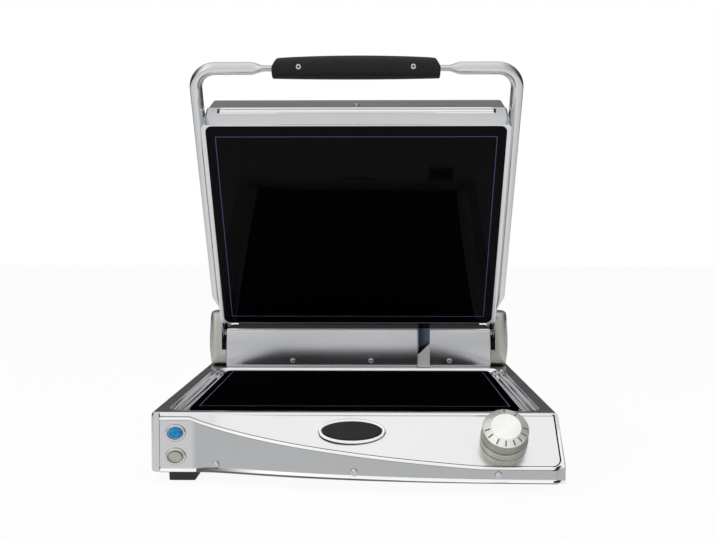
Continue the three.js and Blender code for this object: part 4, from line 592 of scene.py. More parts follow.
def on_curve(points, x):
    """Height of a cubic curve above x, level beyond its ends. Its four points are pairs of x and height."""
    if x <= points[0][0]:
        return points[0][1]
    if x >= points[3][0]:
        return points[3][1]
    low, high = 0.0, 1.0
    for _ in range(40):
        t = (low + high) / 2
        shares = ((1 - t) ** 3, 3 * t * (1 - t) ** 2, 3 * t * t * (1 - t), t ** 3)
        if sum(share * point[0] for share, point in zip(shares, points)) < x:
            low = t
        else:
            high = t
    return sum(share * point[1] for share, point in zip(shares, points))


def rounded_loop(half, y0, y1, radius, z, steps=9):
    """Outline of a rounded rectangle seen from above, with equally many points whatever its size."""
    corners = ((half - radius, y0 + radius, -90), (half - radius, y1 - radius, 0),
               (radius - half, y1 - radius, 90), (radius - half, y0 + radius, 180))
    loop = []
    for x, y, start in corners:
        for i in range(steps + 1):
            angle = math.radians(start + 90 * i / steps)
            loop.append((x + radius * math.cos(angle), y + radius * math.sin(angle), z))
    return loop


def softened(points, steps):
    """A smoother run of pairs through the given ones."""
    run = []
    count = len(points)
    for i in range(count - 1):
        before, start, end, after = (points[max(0, min(count - 1, i + k))] for k in (-1, 0, 1, 2))
        for j in range(steps):
            t = j / steps
            run.append(tuple(0.5 * (2 * q + (r - p) * t + (2 * p - 5 * q + 4 * r - u) * t * t
                                    + (3 * q - p - 3 * r + u) * t ** 3)
                             for p, q, r, u in zip(before, start, end, after)))
    return run + [points[-1]]


def oval(profile, half_width, half_height, steps=64):
    """A profile of inset and height turned round an oval's edge. Insets are from the rim inwards."""
    rows = []
    for inset, height in profile:
        rows.append([((half_width - inset) * math.cos(angle), (half_height - inset) * math.sin(angle), height)
                     for angle in whole_turn(steps)])
    return lofted(rows)


# The body's front, drawn in millimetres from the zone's front line on top of the lower glass

ORIGIN = Vector((0, ZONE_FRONT, GLASS_HIGH.z))
TO_WORLD = Matrix.Translation(ORIGIN) @ Matrix.Scale(MM, 4)
ARMS_TO_WORLD = SWING @ Matrix.Scale(MM, 4)
LID_TO_WORLD = LID_OPEN @ TO_WORLD

HALF_BODY = 200.25
FRONT_Y = -36.0
FLOOR_Z = -59.5
BULGE = 42.0
BULGE_START = -150.05
SEAM_START = -161.05
PANEL_TOP = 1.8
PANEL_STRIP = 4.4
SEAM_DROP = 42.8
SEAM_GAP = 0.5
COVER_LEFT = -191.45
COVER_RIGHT = 192.75
PANEL_RIGHT = 196.75
PANEL_END = PANEL_RIGHT - 1.2
PANEL_SLOPE = math.hypot(BULGE, SEAM_DROP - PANEL_TOP)
CORNER = 8.0
SHEET = 1.5

BULGE_RUN = HALF_BODY - BULGE_START
BULGE_CURVE = ((BULGE_START, 0), (BULGE_START + BULGE_RUN * 0.115, 0),
               (BULGE_START + BULGE_RUN * 0.287, BULGE), (HALF_BODY, BULGE))
SEAM_RUN = (HALF_BODY - SEAM_START) * 0.777
SEAM_CURVE = ((SEAM_START, PANEL_STRIP),
              (SEAM_START + SEAM_RUN * 0.178, PANEL_STRIP + (SEAM_DROP - PANEL_STRIP) * 0.646),
              (SEAM_START + SEAM_RUN, SEAM_DROP), (SEAM_START + SEAM_RUN, SEAM_DROP))


def face_y(x):
    return FRONT_Y - on_curve(BULGE_CURVE, x)


def seam_z(x):
    return -on_curve(SEAM_CURVE, x)


def panel_frame(x, down):
    """Frame on the control panel with Z square to it, the same as the CAD's."""
    run = FRONT_Y - face_y(x)
    fall = -PANEL_TOP - seam_z(x)
    length = math.hypot(run, fall)
    place = Vector((x, FRONT_Y - run * down / length, -PANEL_TOP - fall * down / length))
    return TO_WORLD @ Matrix.Translation(place) @ Matrix.Rotation(math.atan2(fall, run), 4, "X")


def control_panel():
    """Bright facet that twists from upright at the left to a slope at the right, up to the rim's edge."""
    rim = ((0.9, -0.35), (0.35, -0.35), (-0.15, -0.75), (-0.4, -1.2), (-0.35, -1.6))
    round_from = PANEL_END - CORNER
    spots = stations(COVER_LEFT + 0.3, round_from, 150)
    spots += [round_from + CORNER * math.sin(angle) for angle in quarter_turn(12)[1:]]
    top = -PANEL_TOP
    rows = []
    for x in spots:
        run = FRONT_Y - face_y(x)
        fall = top - seam_z(x)
        length = math.hypot(run, fall)
        over = max(0.0, x - round_from)
        kept = 1 - (CORNER - math.sqrt(max(0.0, CORNER ** 2 - over ** 2))) / length
        back = SHEET * length / fall
        low_y, low_z = FRONT_Y - run * kept, top - fall * kept
        row = [(x, FRONT_Y - 0.05, top - 0.1), (x, low_y, low_z), (x, low_y + back, low_z),
               (x, FRONT_Y + back, top)]
        rows.append(row + [(x, FRONT_Y + y, z) for y, z in rim])
    bm = lofted(rows)
    paint(bm, lambda x, y, z: 1 if z > 0.4 - PANEL_TOP else 0)
    finished("control_panel_skin", moved(bm, TO_WORLD), ["control_panel"], ["panel", "bright"], 30)


def panel_edge():
    """Bright folded edge of the panel, just below the body's rim."""
    rows = []
    for x in stations(COVER_LEFT + 0.6, PANEL_RIGHT - 3.0, 150):
        proud = 0.4 + 0.6 * eased((x - BULGE_START) / 80)
        rows.append([(x, FRONT_Y - 1.0 * proud, -0.85), (x, FRONT_Y - 1.5 * proud, -1.5),
                     (x, FRONT_Y - 1.75 * proud, -2.3), (x, FRONT_Y + 0.3, -2.3), (x, FRONT_Y + 0.3, -0.85)])
    riding("panel_edge", moved(lofted(rows), TO_WORLD), "base", ["bright"], 50)


def cheek_path():
    """Places and outward directions down the panel's slope, the cover's face and the foot's roll."""
    before_bend, bend, bend_fall, roll, roll_z = 4, 2.9, 6.2, 1.6, -57.5
    slope = Vector((0, -BULGE, -(SEAM_DROP - PANEL_TOP))).normalized()
    out = Vector((0, slope.z, -slope.y))
    level = Vector((0, -1, 0))
    foot = FRONT_Y - BULGE
    start = Vector((0, FRONT_Y, -PANEL_TOP))
    path = [(start + slope * (i / 8) * (PANEL_SLOPE - before_bend), out) for i in range(9)]
    for share in stations(0, 1, 8)[1:]:
        place = Vector((0, foot + bend * (1 - share) ** 2, -SEAM_DROP + bend - bend_fall * share))
        path.append((place, (out * (1 - share) + level * share).normalized()))
    path += [(Vector((0, foot, z)), level) for z in (-52, -54, -56, roll_z)]
    for angle in quarter_turn(5)[1:]:
        place = Vector((0, foot + roll * (1 - math.cos(angle)), roll_z - roll * math.sin(angle)))
        path.append((place, Vector((0, -math.cos(angle), -math.sin(angle)))))
    return path


def cheek_fold():
    """Rounded fold of the shell that frames the panel and the cover at the right."""
    inner, outer, proud, depth = PANEL_RIGHT - 0.1, HALF_BODY - 0.1, 0.9, 1.5
    rows = []
    for place, normal in cheek_path():
        near = inner if place.z > -SEAM_DROP - 3 else COVER_RIGHT - 0.6
        rounding = 0.6 if place.z > -SEAM_DROP - 1 else 0.25
        row = []
        for i in range(13):
            angle = math.pi * i / 12
            across = (near + outer) / 2 + (outer - near) / 2 * math.cos(angle)
            row.append(Vector((across, 0, 0)) + place + normal * proud * math.sin(angle) ** rounding)
        rows.append(row + [Vector((x, 0, 0)) + place - normal * depth for x in (inner, outer)])
    bm = lofted(rows)
    # Painted light: the fold gets the bright tray steel up the panel and round the foot, and the darker front
    # steel along the upright face, as lit and shaded copies
    paint(bm, lambda x, y, z: 1 if -56 < z < -SEAM_DROP - 2 else 0)
    riding("cheek_fold", moved(bm, TO_WORLD), "base", ["tray", "front"], 50)


def panel_corner():
    """Bit of the shell outside the panel's rounded lower corner."""
    reach, below = CORNER + 1.0, -1.0
    outline = [(CORNER + 1.2, -CORNER - 0.4, below)]
    outline += [(reach * math.cos(angle) + 0.2, -reach * math.sin(angle) - 0.2, below)
                for angle in quarter_turn(12)]
    place = panel_frame(PANEL_END - CORNER, PANEL_SLOPE - CORNER)
    riding("panel_corner", moved(slab(outline, (0, 0, 1.3)), place), "base", ["tray"], 30)


def hem_foot(x):
    """Height of the turned-under edge below the hem, which is painted dark as shadow, deepest left of the middle.
    """
    least, step, swell = 0.8, 0.4, 0.9
    swell_from, swell_run, step_run = 150, 210, 16
    swollen = step + swell * eased((swell_from - x) / swell_run)
    return least + swollen * eased((x - BULGE_START + step_run / 2) / step_run)


def front_cover():
    """Lower front sheet with a raised bead along the seam and a flared hem along its foot."""
    bead, proud, hem, flare = 3.4, 1.7, 2.3, 2.6
    rows = []
    for x in stations(COVER_LEFT, COVER_RIGHT - 0.3, 170):
        y, top, foot = face_y(x), seam_z(x) - SEAM_GAP, FLOOR_Z + hem_foot(x)
        rows.append([
            (x, y + 3, FLOOR_Z), (x, y - hem + 0.9, FLOOR_Z), (x, y - hem + 0.1, foot - 0.1),
            (x, y - hem, foot + 0.1), (x, y - hem + 0.15, foot + 0.25),
            (x, y - hem * 0.45, foot + flare * 0.5), (x, y - 0.12, foot + flare),
            (x, y, foot + 0.35 + flare), (x, y, foot + 0.7 + flare),
            (x, y, top - bead - 0.4), (x, y, top - bead - 0.1), (x, y - proud * 0.7, top - bead + 0.25),
            (x, y - proud, top - bead + 0.85), (x, y - proud + 0.12, top - bead + 1.15),
            (x, y - proud * 0.52, top - bead * 0.34), (x, y - 0.12, top - 0.15),
            (x, y + 0.3, top), (x, y + 2.4, top), (x, y + 2.4, top - SHEET), (x, y + SHEET, top - bead),
            (x, y + SHEET, FLOOR_Z + SHEET), (x, y + 3, FLOOR_Z + SHEET)])

    # Painted light: the bead's upper part and the hem's flat left part get the bright steel as a painted
    # highlight, the rest of the hem gets steel with painted shade along X, and the turned-under edge below it gets
    # the dark painted shadow finish
    def finish_at(x, y, z):
        foot = FLOOR_Z + hem_foot(x)
        on_hem = foot < z < foot + flare + 0.1
        if y > face_y(x) + 0.4:
            return 0
        if z > seam_z(x) - SEAM_GAP - bead + 0.6 or on_hem and x < BULGE_START - 6:
            return 1
        if on_hem:
            return 3
        return 2 if z < foot else 0

    bm = lofted(rows)
    paint(bm, finish_at)
    names = ["front", "bright", "shadow", "hem"]
    finished("front_cover_skin", moved(bm, TO_WORLD), ["front_cover"], names, 50)


def side_fold():
    """Rounded fold of the shell beside the cover's left end."""
    inner, outer = COVER_LEFT - 0.2, 0.1 - HALF_BODY
    levels = ((FLOOR_Z + 0.1, 2.0), (FLOOR_Z + 0.5, 1.0), (FLOOR_Z + 1.4, 0.3), (FLOOR_Z + 2.6, 0.0),
              (-4.2, 0.0), (-2.8, 0.3), (-1.6, 1.0), (-1.0, 2.0))
    rows = []
    for z, drawn in levels:
        row = []
        for i in range(17):
            angle = math.pi * i / 16
            side = -math.cos(angle)
            across = (inner + outer) / 2 + (outer - inner) / 2 * side
            across += (drawn if side > 0 else 0) * side * 0.9
            proud = (1.2 - drawn * 0.5) * math.sin(angle) ** 0.7
            row.append((across, FRONT_Y + 2.6 * max(0.0, side) ** 2 + 0.2 - proud, z))
        rows.append(row + [(outer + drawn, FRONT_Y + 4.0, z), (inner, FRONT_Y + 1.0, z)])
    riding("side_fold", moved(lofted(rows), TO_WORLD), "base", ["front"], 60)


def fold_gap_painted_shade():
    """Black slivers where the shell's folds meet the cover, at its four corners: painted shade that stands for
    small dark openings.
    """
    right_face, left_face = -80.2, FRONT_Y - 0.35
    slivers = ((right_face, ((188.0, -47.0), (191.6, -46.4), (194.4, -44.0), (195.3, -41.6), (191.8, -43.4))),
               (right_face, ((188.4, -56.8), (191.6, -58.1), (194.2, -57.9), (195.8, -56.0), (192.0, -56.0))),
               (left_face, ((-192.4, -2.2), (-192.4, -8.2), (-191.3, -7.4), (-190.9, -3.0))),
               (left_face, ((-192.6, -54.4), (-192.6, -58.6), (-191.2, -58.6), (-191.0, -55.0))))
    bm = bmesh.new()
    for y, outline in slivers:
        joined(bm, slab([(x, y, z) for x, z in outline], (0, 1.6, 0)))
    riding("fold_gap_painted_shade", moved(bm, TO_WORLD), "base", ["black_plastic"], 30)


# Dial

# Place across the body and down the panel's slope, and the marks' angles clockwise from the pointer
DIAL_SPOT = (144.55, 30.2)
DIAL_MARKS = (0, 36, 94, 116, 138, 160, 185, 210, 238, 261)


def dial_base_ring():
    profile = [(5.3, 0.3), (22.2, 0.3), (22.6, 0.6), (22.8, 1.2), (22.8, 6.9), (22.6, 7.7), (22.1, 8.2),
               (21.4, 8.4), (5.3, 8.4), (5.3, 0.3)]
    bm = moved(spun(profile, 96), panel_frame(*DIAL_SPOT))
    finished("dial_ring_skin", bm, ["dial_ring"], ["dial_base"], 28)


def dial():
    """Coned scale ring with dark marks, a flat top and a pointer, on a skirt painted darker as shade; the flat top
    is painted a little lighter as a highlight.
    """
    foot, height, cone, radius, flat = 8.7, 12.5, 3.2, 22.0, 14.0
    shoulder, crown = foot + height, foot + height + cone
    place = panel_frame(*DIAL_SPOT)
    profile = [(0, foot), (radius - 0.9, foot), (radius - 0.6, foot + 0.2), (radius - 0.6, foot + 1.0),
               (radius, foot + 1.6), (radius, shoulder - 0.8), (radius - 0.25, shoulder - 0.2),
               (radius - 0.8, shoulder + 0.25), (flat + 0.7, crown - 0.35), (flat + 0.25, crown - 0.05),
               (flat - 0.3, crown), (0, crown)]
    body = spun(profile, 96)
    # Painted light: the top gets the lighter copy of the alloy, the skirt below the shoulder the darker one
    paint(body, lambda x, y, z: 1 if z > crown - 0.2 else 2 if z < shoulder - 0.3 else 0)
    finished("dial_skin", moved(body, place), ["dial"], ["dial_cast", "dial_painted_highlight", "dial_painted_shade"], 28)
    marks = bmesh.new()
    slope = Matrix.Rotation(math.atan2(cone, radius - flat), 4, "Y")
    for degrees in DIAL_MARKS:
        length, width, inwards, sunk = (4.4, 1.5, 0.9, 0.4) if degrees == 0 else (5.6, 1.4, 0.0, 0.0)
        reach = Matrix.Translation(((radius + flat) / 2 + inwards, 0, (shoulder + crown) / 2 - 0.02 - sunk))
        turn = Matrix.Rotation(math.radians(90 - degrees), 4, "Z")
        joined(marks, moved(block(length, width, 0.5, 0.16), turn @ reach @ slope))
    riding("dial_marks", moved(marks, place), "knob", ["dial_marks"], 30)


# Arms and grip, drawn in millimetres from the hinge axis with the lid closed

ARM_RADIUS = 7.1
BAR = 371.0
GRIP_HALF = 94.3
GRIP_TURN = math.radians(31)


def section(x, y, heading, width, height, tilt=0.0):
    """Frame of a flattened round section that faces along the heading."""
    across = Vector((-math.sin(heading), math.cos(heading), 0))
    up = Vector((0, 0, 1))
    first = (across * math.cos(tilt) - up * math.sin(tilt)) * width
    second = (across * math.sin(tilt) + up * math.cos(tilt)) * height
    ahead = Vector((math.cos(heading), math.sin(heading), 0))
    matrix = Matrix((first, second, ahead)).transposed().to_4x4()
    matrix.translation = (x, y, 0)
    return matrix


def arm_sections():
    """Sections from the rounded blade in the slot to the flattened end inside the grip."""
    blade_x, offset, blade, half = 177.95, 3.9, 1.6, 9.0
    flat, tall, inside = 3.2, 8.4, 40
    rounding_from, rounding_run, flattening_run = -38, 24, 17.5
    bend, tube_x, ahead = 23.5, blade_x + offset, -math.pi / 2
    neck = -GRIP_HALF - 7.5
    places = []
    for y, height in ((9.4, 1.2), (8.8, 3.5), (7.6, 5.7), (5.5, 7.7), (3.0, 8.9), (0.0, 9.3), (-20, half)):
        places.append(section(-blade_x, y, ahead, blade, height))
    for share in stations(0, 1, 12):
        ease = eased(share)
        width, height = (size + (ARM_RADIUS - size) * ease for size in (blade, half))
        y = rounding_from - rounding_run * share
        places.append(section(-blade_x - offset * ease, y, ahead, width, height))
    for turn in quarter_turn(18):
        x, y = bend - tube_x - bend * math.cos(turn), bend - BAR - bend * math.sin(turn)
        places.append(section(x, y, ahead + turn, ARM_RADIUS, ARM_RADIUS))
    for share in stations(0, 1, 12):
        ease = eased(share)
        width, height = (ARM_RADIUS + (size - ARM_RADIUS) * ease for size in (flat, tall))
        places.append(section(neck - flattening_run * (1 - share), -BAR, 0, width, height, GRIP_TURN * ease))
    places.append(section(-GRIP_HALF + inside, -BAR, 0, flat, tall, GRIP_TURN))
    return places


def arm(node, side):
    """Bright tube, pressed flat at the hinge and at the grip, bent once, and painted dark rubber as shade where it
    sits in its slot.
    """
    bm = round_tube(arm_sections(), 48)
    # Painted shade: the part in the slot gets the dark rubber finish
    paint(bm, lambda x, y, z: 1 if y > -10 else 0)
    bm = moved(bm, ARMS_TO_WORLD @ Matrix.Diagonal((-side, 1, 1, 1)))
    finished(node + "_tube", bm, [node], ["arms", "gaskets"], 50)


def grip():
    """Moulded black bar, fuller on its upper side, with cut ends and a screw near each."""
    end_radius, middle_radius, screw_x, seat = 11.4, 14.1, 63.7, 13.1
    rows = []
    for along in stations(-1, 1, 40):
        row = []
        for angle in whole_turn(48):
            forward = math.cos(angle)
            share = 1.0 if forward > 0 else 1 - 0.6 * -forward
            radius = end_radius + (middle_radius - end_radius) * (1 - along * along) * share
            cut = 5.0 * max(0.0, forward) * max(0.0, abs(along) * 6 - 5)
            x = along * GRIP_HALF - math.copysign(cut, along)
            row.append((x, -radius * forward, radius * math.sin(angle)))
        rows.append(row)
    place = ARMS_TO_WORLD @ Matrix.Translation((0, -BAR, 0)) @ Matrix.Rotation(-GRIP_TURN, 4, "X")
    finished("grip_bar", moved(lofted(rows), place), ["grip"], ["grip"], 40, 2.2 * MM, 4)
    profile = [(0, seat - 3.0), (2.9, seat - 3.0), (2.9, seat - 0.3), (2.5, seat), (1.45, seat),
               (1.15, seat - 0.3), (1.15, seat - 1.4), (0, seat - 1.5)]
    upside_down = Matrix.Rotation(math.pi, 4, "X")
    for node, side in (("grip_screw_left", -1), ("grip_screw_right", 1)):
        head = moved(spun(profile, 40), place @ Matrix.Translation((side * screw_x, 0, 0)) @ upside_down)
        finished(node + "_head", head, [node], ["screws"], 30)


# Buttons and badge

# An oval's half width and half height, and the steps round the larger one
BUTTON_X = -175.85
BUTTON_OVAL = (10.4, 8.6)
BADGE_X = -1.4
BADGE_OVAL = (32.75, 14.2, 96)


def push_button(name, drop, finish, dome):
    """Oval cap that slides in a bezel on the flat left end of the front."""
    rim = [(2.9, -14.0), (2.9, -0.9), (1.2, -0.9), (1.2, 0.3), (0.0, 0.3), (0.0, 0.8), (0.35, 1.5),
           (1.0, 2.05), (1.7, 2.2), (2.3, 1.9), (2.6, 1.3), (2.65, 0.6), (2.65, -14.0)]
    place = TO_WORLD @ Matrix.Translation((BUTTON_X, FRONT_Y, -drop)) @ Matrix.Rotation(math.pi / 2, 4, "X")
    finished(name + "_bezel_ring", moved(oval(rim, *BUTTON_OVAL), place), [name + "_bezel"], ["bezels"], 50)
    finished(name + "_button_cap", moved(oval(dome, *BUTTON_OVAL), place), [name + "_button"], [finish], 50)


def push_buttons():
    lens = [(3.2, -7.4), (3.2, 1.1), (3.45, 1.8), (3.9, 2.5), (5.4, 3.1), (7.0, 3.35), (7.7, 3.4)]
    grooved = [(3.2, -7.4), (3.2, 1.5), (3.35, 2.2), (3.75, 2.8), (4.1, 2.7), (4.4, 2.5), (5.0, 2.75),
               (6.6, 3.2), (7.7, 3.3)]
    push_button("power", 20.705, "lens", lens)
    push_button("timer", 44.108, "cap", grooved)


def badge():
    """Bare dark oval in a bright rounded rim."""
    slope = math.hypot(FRONT_Y - face_y(BADGE_X), -PANEL_TOP - seam_z(BADGE_X))
    place = panel_frame(BADGE_X, slope / 2 - 1.4)
    rim = [(5.2, 0.9), (0.5, 0.9), (0.1, 1.2), (0.0, 1.6), (0.35, 2.2), (0.9, 2.5), (1.7, 2.6), (2.7, 2.4),
           (3.3, 2.0), (3.5, 1.7), (5.2, 1.7)]
    ring = oval(rim, *BADGE_OVAL)
    # Painted shade: the rim's lower outer faces get the dark shadow finish
    for face in ring.faces:
        if face.calc_center_median().z < 1.7 and face.normal.z < 0.5:
            face.material_index = 1
    finished("badge_rim", moved(ring, place), ["badge_ring"], ["bright", "shadow"], 40)
    centre = moved(oval([(3.65, 1.9), (3.65, 2.1), (4.0, 2.3), (7.0, 2.5), (12.0, 2.6)], *BADGE_OVAL), place)
    finished("badge_plate_face", centre, ["badge_plate"], ["black_plastic"], 30)


# Lid, drawn in millimetres as it lies when closed

LID_Z = 1.4
HALF_LID = 173.35
LID_FRONT, LID_BACK = -14.5, 260.4
FRAME_HEIGHT, LID_HEIGHT = 49.6, 99.5
HOOD_FOOT = FRAME_HEIGHT + 0.3
HOOD_LEAN, HOOD_SHOULDER, HOOD_INSET = 9.6, 7.0, 2.2
PLATE_FRONT, PLATE_BACK = -12.7, 258.6


def lid_loop(drawn, z, sideways=None, radius=4.0):
    sideways = drawn if sideways is None else sideways
    return rounded_loop(HALF_LID - sideways, LID_FRONT + drawn, LID_BACK - drawn, radius, LID_Z + z)


def lid_frame():
    """Lower lid ring: lip round the glass, upright wall and a fold inwards along its top."""
    top = FRAME_HEIGHT
    opening = (168.65, -13.0, 258.9, 7.3)
    rows = [lid_loop(0.5, 0.3, radius=4.2), lid_loop(0.12, 0.45, radius=4.4), lid_loop(0, 0.9, radius=4.3),
            lid_loop(0, 1.3), lid_loop(0, top - 3.6, radius=3.6), lid_loop(0.1, top - 2.2, 0, 3.8),
            lid_loop(0.5, top - 0.9, 0.1), lid_loop(1.3, top - 0.2, 0.3, 4.4), lid_loop(2.4, top, 0.5, 4.8),
            lid_loop(12, top, radius=3), lid_loop(12, top - 1.2, radius=3), lid_loop(4.6, top - 1.3, 2.4),
            lid_loop(2.0, top - 5, radius=3.6), lid_loop(1.2, 1.5, radius=3.2),
            rounded_loop(*opening, LID_Z + 1.5), rounded_loop(*opening, LID_Z + 0.3)]
    bm = lofted(rows, closed=True)
    # Painted shadow: a dark strip along the bottom of the rear wall
    paint(bm, lambda x, y, z: 1 if y > LID_BACK - 3 and z < LID_Z + 1.1 and abs(x) < 140 else 0)
    finished("lid_frame_skin", moved(bm, LID_TO_WORLD), ["lid_frame"], ["frame", "shadow"], 40)


def frame_folds():
    """Bright double fold along the top of the frame, front and back, between its drawn corners."""
    reach = HALF_LID - 17.3
    profile = [(0.4, 30.2), (-0.25, 30.6), (-0.6, 31.6), (-0.6, 33.4), (-0.2, 34.6), (-0.2, 35.6),
               (-0.6, 36.8), (-0.6, 39.6), (-0.2, 41.2), (0.3, 41.8), (0.3, 43.8), (-0.2, 44.4),
               (-0.45, 45.4), (-0.3, 46.8), (0.5, 47.6), (1.5, 47.7)]
    bm = bmesh.new()
    for wall, away in ((LID_FRONT, 1), (LID_BACK, -1)):
        joined(bm, lofted([[(x, wall + away * y, LID_Z + z) for y, z in profile] for x in (-reach, reach)]))
    riding("frame_folds", moved(bm, LID_TO_WORLD), "lid", ["bright"], 40)


def frame_seam_painted_shade():
    """Black blocks at the open ends of the double fold beside the drawn corners: painted shade inside the open
    ends.
    """
    from_side, height, lean, proud = 15.2, 37.5, 0.1, 0.15
    bm = bmesh.new()
    for side in (-1, 1):
        for wall in (LID_FRONT - proud, LID_BACK + proud):
            place = Matrix.Translation((side * (HALF_LID - from_side), wall, LID_Z + height))
            joined(bm, moved(block(2.6, 1.0, 9.0, 0.3), place @ Matrix.Rotation(side * lean, 4, "Y")))
    riding("frame_seam_painted_shade", moved(bm, LID_TO_WORLD), "lid", ["black_plastic"], 30)


def lid_hood():
    """Upper lid shell: leaning front and back, rounded corners and a rounded shoulder."""
    shoulder, sheet = LID_HEIGHT - HOOD_SHOULDER, 1.2

    def level(inset, z, radius=4.0):
        return lid_loop(HOOD_INSET + inset, z, max(0.0, inset - HOOD_LEAN) * 0.35, radius)

    inner = [level(HOOD_LEAN + HOOD_SHOULDER + 1, LID_HEIGHT - sheet), level(HOOD_LEAN + 3, shoulder - sheet),
             level(1.4, HOOD_FOOT)]
    outer = [level(0.3, HOOD_FOOT, 3.8), level(0, HOOD_FOOT + 0.4)]
    for i in range(1, 7):
        outer.append(level(HOOD_LEAN * i / 6, HOOD_FOOT + (shoulder - HOOD_FOOT) * i / 6))
    for angle in quarter_turn(8)[1:]:
        drawn, rise = HOOD_SHOULDER * (1 - math.cos(angle)), HOOD_SHOULDER * math.sin(angle)
        outer.append(level(HOOD_LEAN + drawn, shoulder + rise))
    finished("lid_hood_skin", moved(lofted(inner + outer), LID_TO_WORLD), ["lid_hood"], ["hood"], 40)


def plate(half, low, high):
    """Flat plate with rounded corners and finely rounded edges."""
    radius, edge = 7.0, 0.5
    arc = [(edge * (1 - math.sin(angle)), edge * (1 - math.cos(angle))) for angle in quarter_turn(4)]
    levels = [(drawn, low + rise) for drawn, rise in arc]
    levels += [(drawn, high - rise) for drawn, rise in arc[::-1]]
    return lofted([rounded_loop(half - drawn, PLATE_FRONT + drawn, PLATE_BACK - drawn, radius - drawn, z, 12)
                   for drawn, z in levels])


def cooking_plates():
    lower = moved(plate(166.5, -4.0, 0.0), TO_WORLD)
    finished("lower_plate", lower, ["lower_glass"], ["glass"], 40)
    upper = moved(plate(168.35, LID_Z, LID_Z + 4.0), LID_TO_WORLD)
    finished("upper_plate", upper, ["upper_glass"], ["lid_glass"], 40)


# Screws

def hex_screw(node, matrix):
    """Domed head with a six-sided socket. Z of the matrix points out of the head."""
    crown, socket, depth = 2.0, 1.25, 1.1
    profile = [(0, -7), (1.9, -7), (1.9, 0.3), (3.3, 0.3), (3.4, 0.5), (3.35, 1.0), (3.0, 1.55), (2.4, 1.9),
               (1.75, crown)]
    bm = spun(profile, 48)
    rim = [v for v in bm.verts if abs(v.co.z - crown) < 0.001 and v.co.xy.length > 1]
    edges = [e for e in bm.edges if e.verts[0] in rim and e.verts[1] in rim]
    made = bmesh.ops.extrude_edge_only(bm, edges=edges)
    inner = new_verts(made)
    for vert in inner:
        angle = math.atan2(vert.co.y, vert.co.x)
        reach = socket / math.cos((angle % (math.pi / 3)) - math.pi / 6)
        vert.co.xy = (reach * math.cos(angle), reach * math.sin(angle))
    lips = [g for g in made["geom"] if isinstance(g, bmesh.types.BMEdge) and all(v in inner for v in g.verts)]
    floor = new_verts(bmesh.ops.extrude_edge_only(bm, edges=lips))
    bmesh.ops.translate(bm, vec=(0, 0, -depth), verts=floor)
    bmesh.ops.contextual_create(bm, geom=[e for e in bm.edges if all(v in floor for v in e.verts)])
    bmesh.ops.recalc_face_normals(bm, faces=bm.faces)
    finished(node + "_head", moved(bm, matrix), [node], ["screws"], 35)


def screws():
    """Three in the front cover, three in the hinge cover and one in the lid's hood."""
    face_out = Matrix.Rotation(math.pi / 2, 4, "X")
    shares_of_front, above_floor, head = (0.161, 0.502, 0.843), 8.0, 3.4
    for i, share in enumerate(shares_of_front):
        x = 2 * HALF_BODY * share - HALF_BODY
        turn = Matrix.Rotation(math.atan2(face_y(x + head) - face_y(x - head), 2 * head), 4, "Z")
        place = Matrix.Translation((x, face_y(x), FLOOR_Z + above_floor))
        hex_screw("front_screw_%d" % (i + 1), TO_WORLD @ place @ turn @ face_out)
    above_glass = 8.0
    for i in range(3):
        node = "cover_screw_%d" % (i + 1)
        low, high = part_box(node)
        middle = ((low[0] + high[0]) / 2 / MM, HINGE_FRONT, above_glass)
        hex_screw(node, TO_WORLD @ Matrix.Translation(middle) @ face_out)
    rise, up = LID_HEIGHT - HOOD_SHOULDER - HOOD_FOOT, 0.4
    place = Matrix.Translation((0, LID_FRONT + HOOD_INSET + HOOD_LEAN * up, LID_Z + HOOD_FOOT + rise * up))
    place = place @ Matrix.Rotation(-math.atan2(HOOD_LEAN, rise), 4, "X")
    hex_screw("lid_screw", LID_TO_WORLD @ place @ face_out)


# Tray, hinge cover, pods, lead guard and cable gland

HINGE_FRONT = 295.0


def gutter_tray():
    """Pressed ring round the lower glass: rim, steep wall, gutter, raised step and ledge."""
    outer, inner, depth, sheet = 186.7, 166.8, 6.2, 1.2
    run = [(0, 0), (0.03, -0.03), (0.07, -0.5), (0.1, -0.62), (0.29, -0.27), (0.33, -0.32), (0.37, -0.75),
           (0.4, -0.84), (0.55, -0.46), (0.59, -0.5), (0.63, -0.9), (0.66, -0.96), (0.78, -0.82),
           (0.82, -0.97), (1, -1)]

    def level(share, z):
        reach = 1 - share
        half, front, back = inner + (outer - inner) * reach, -13.0 - 15.2 * reach, 258.9 + 21.8 * reach
        return rounded_loop(half, front, back, 7 + 11 * reach, z)

    top = [level(share, down * depth) for share, down in softened(run, 3)]
    under = [level(share, down * depth - sheet) for share, down in run]
    lap = [rounded_loop(inner - 9, -4.0, 249.9, 7, z) for z in (-depth, -depth - sheet)]
    bm = lofted(top + lap + under[::-1], closed=True)
    finished("gutter_tray_skin", moved(bm, TO_WORLD), ["gutter_tray"], ["tray"], 50)


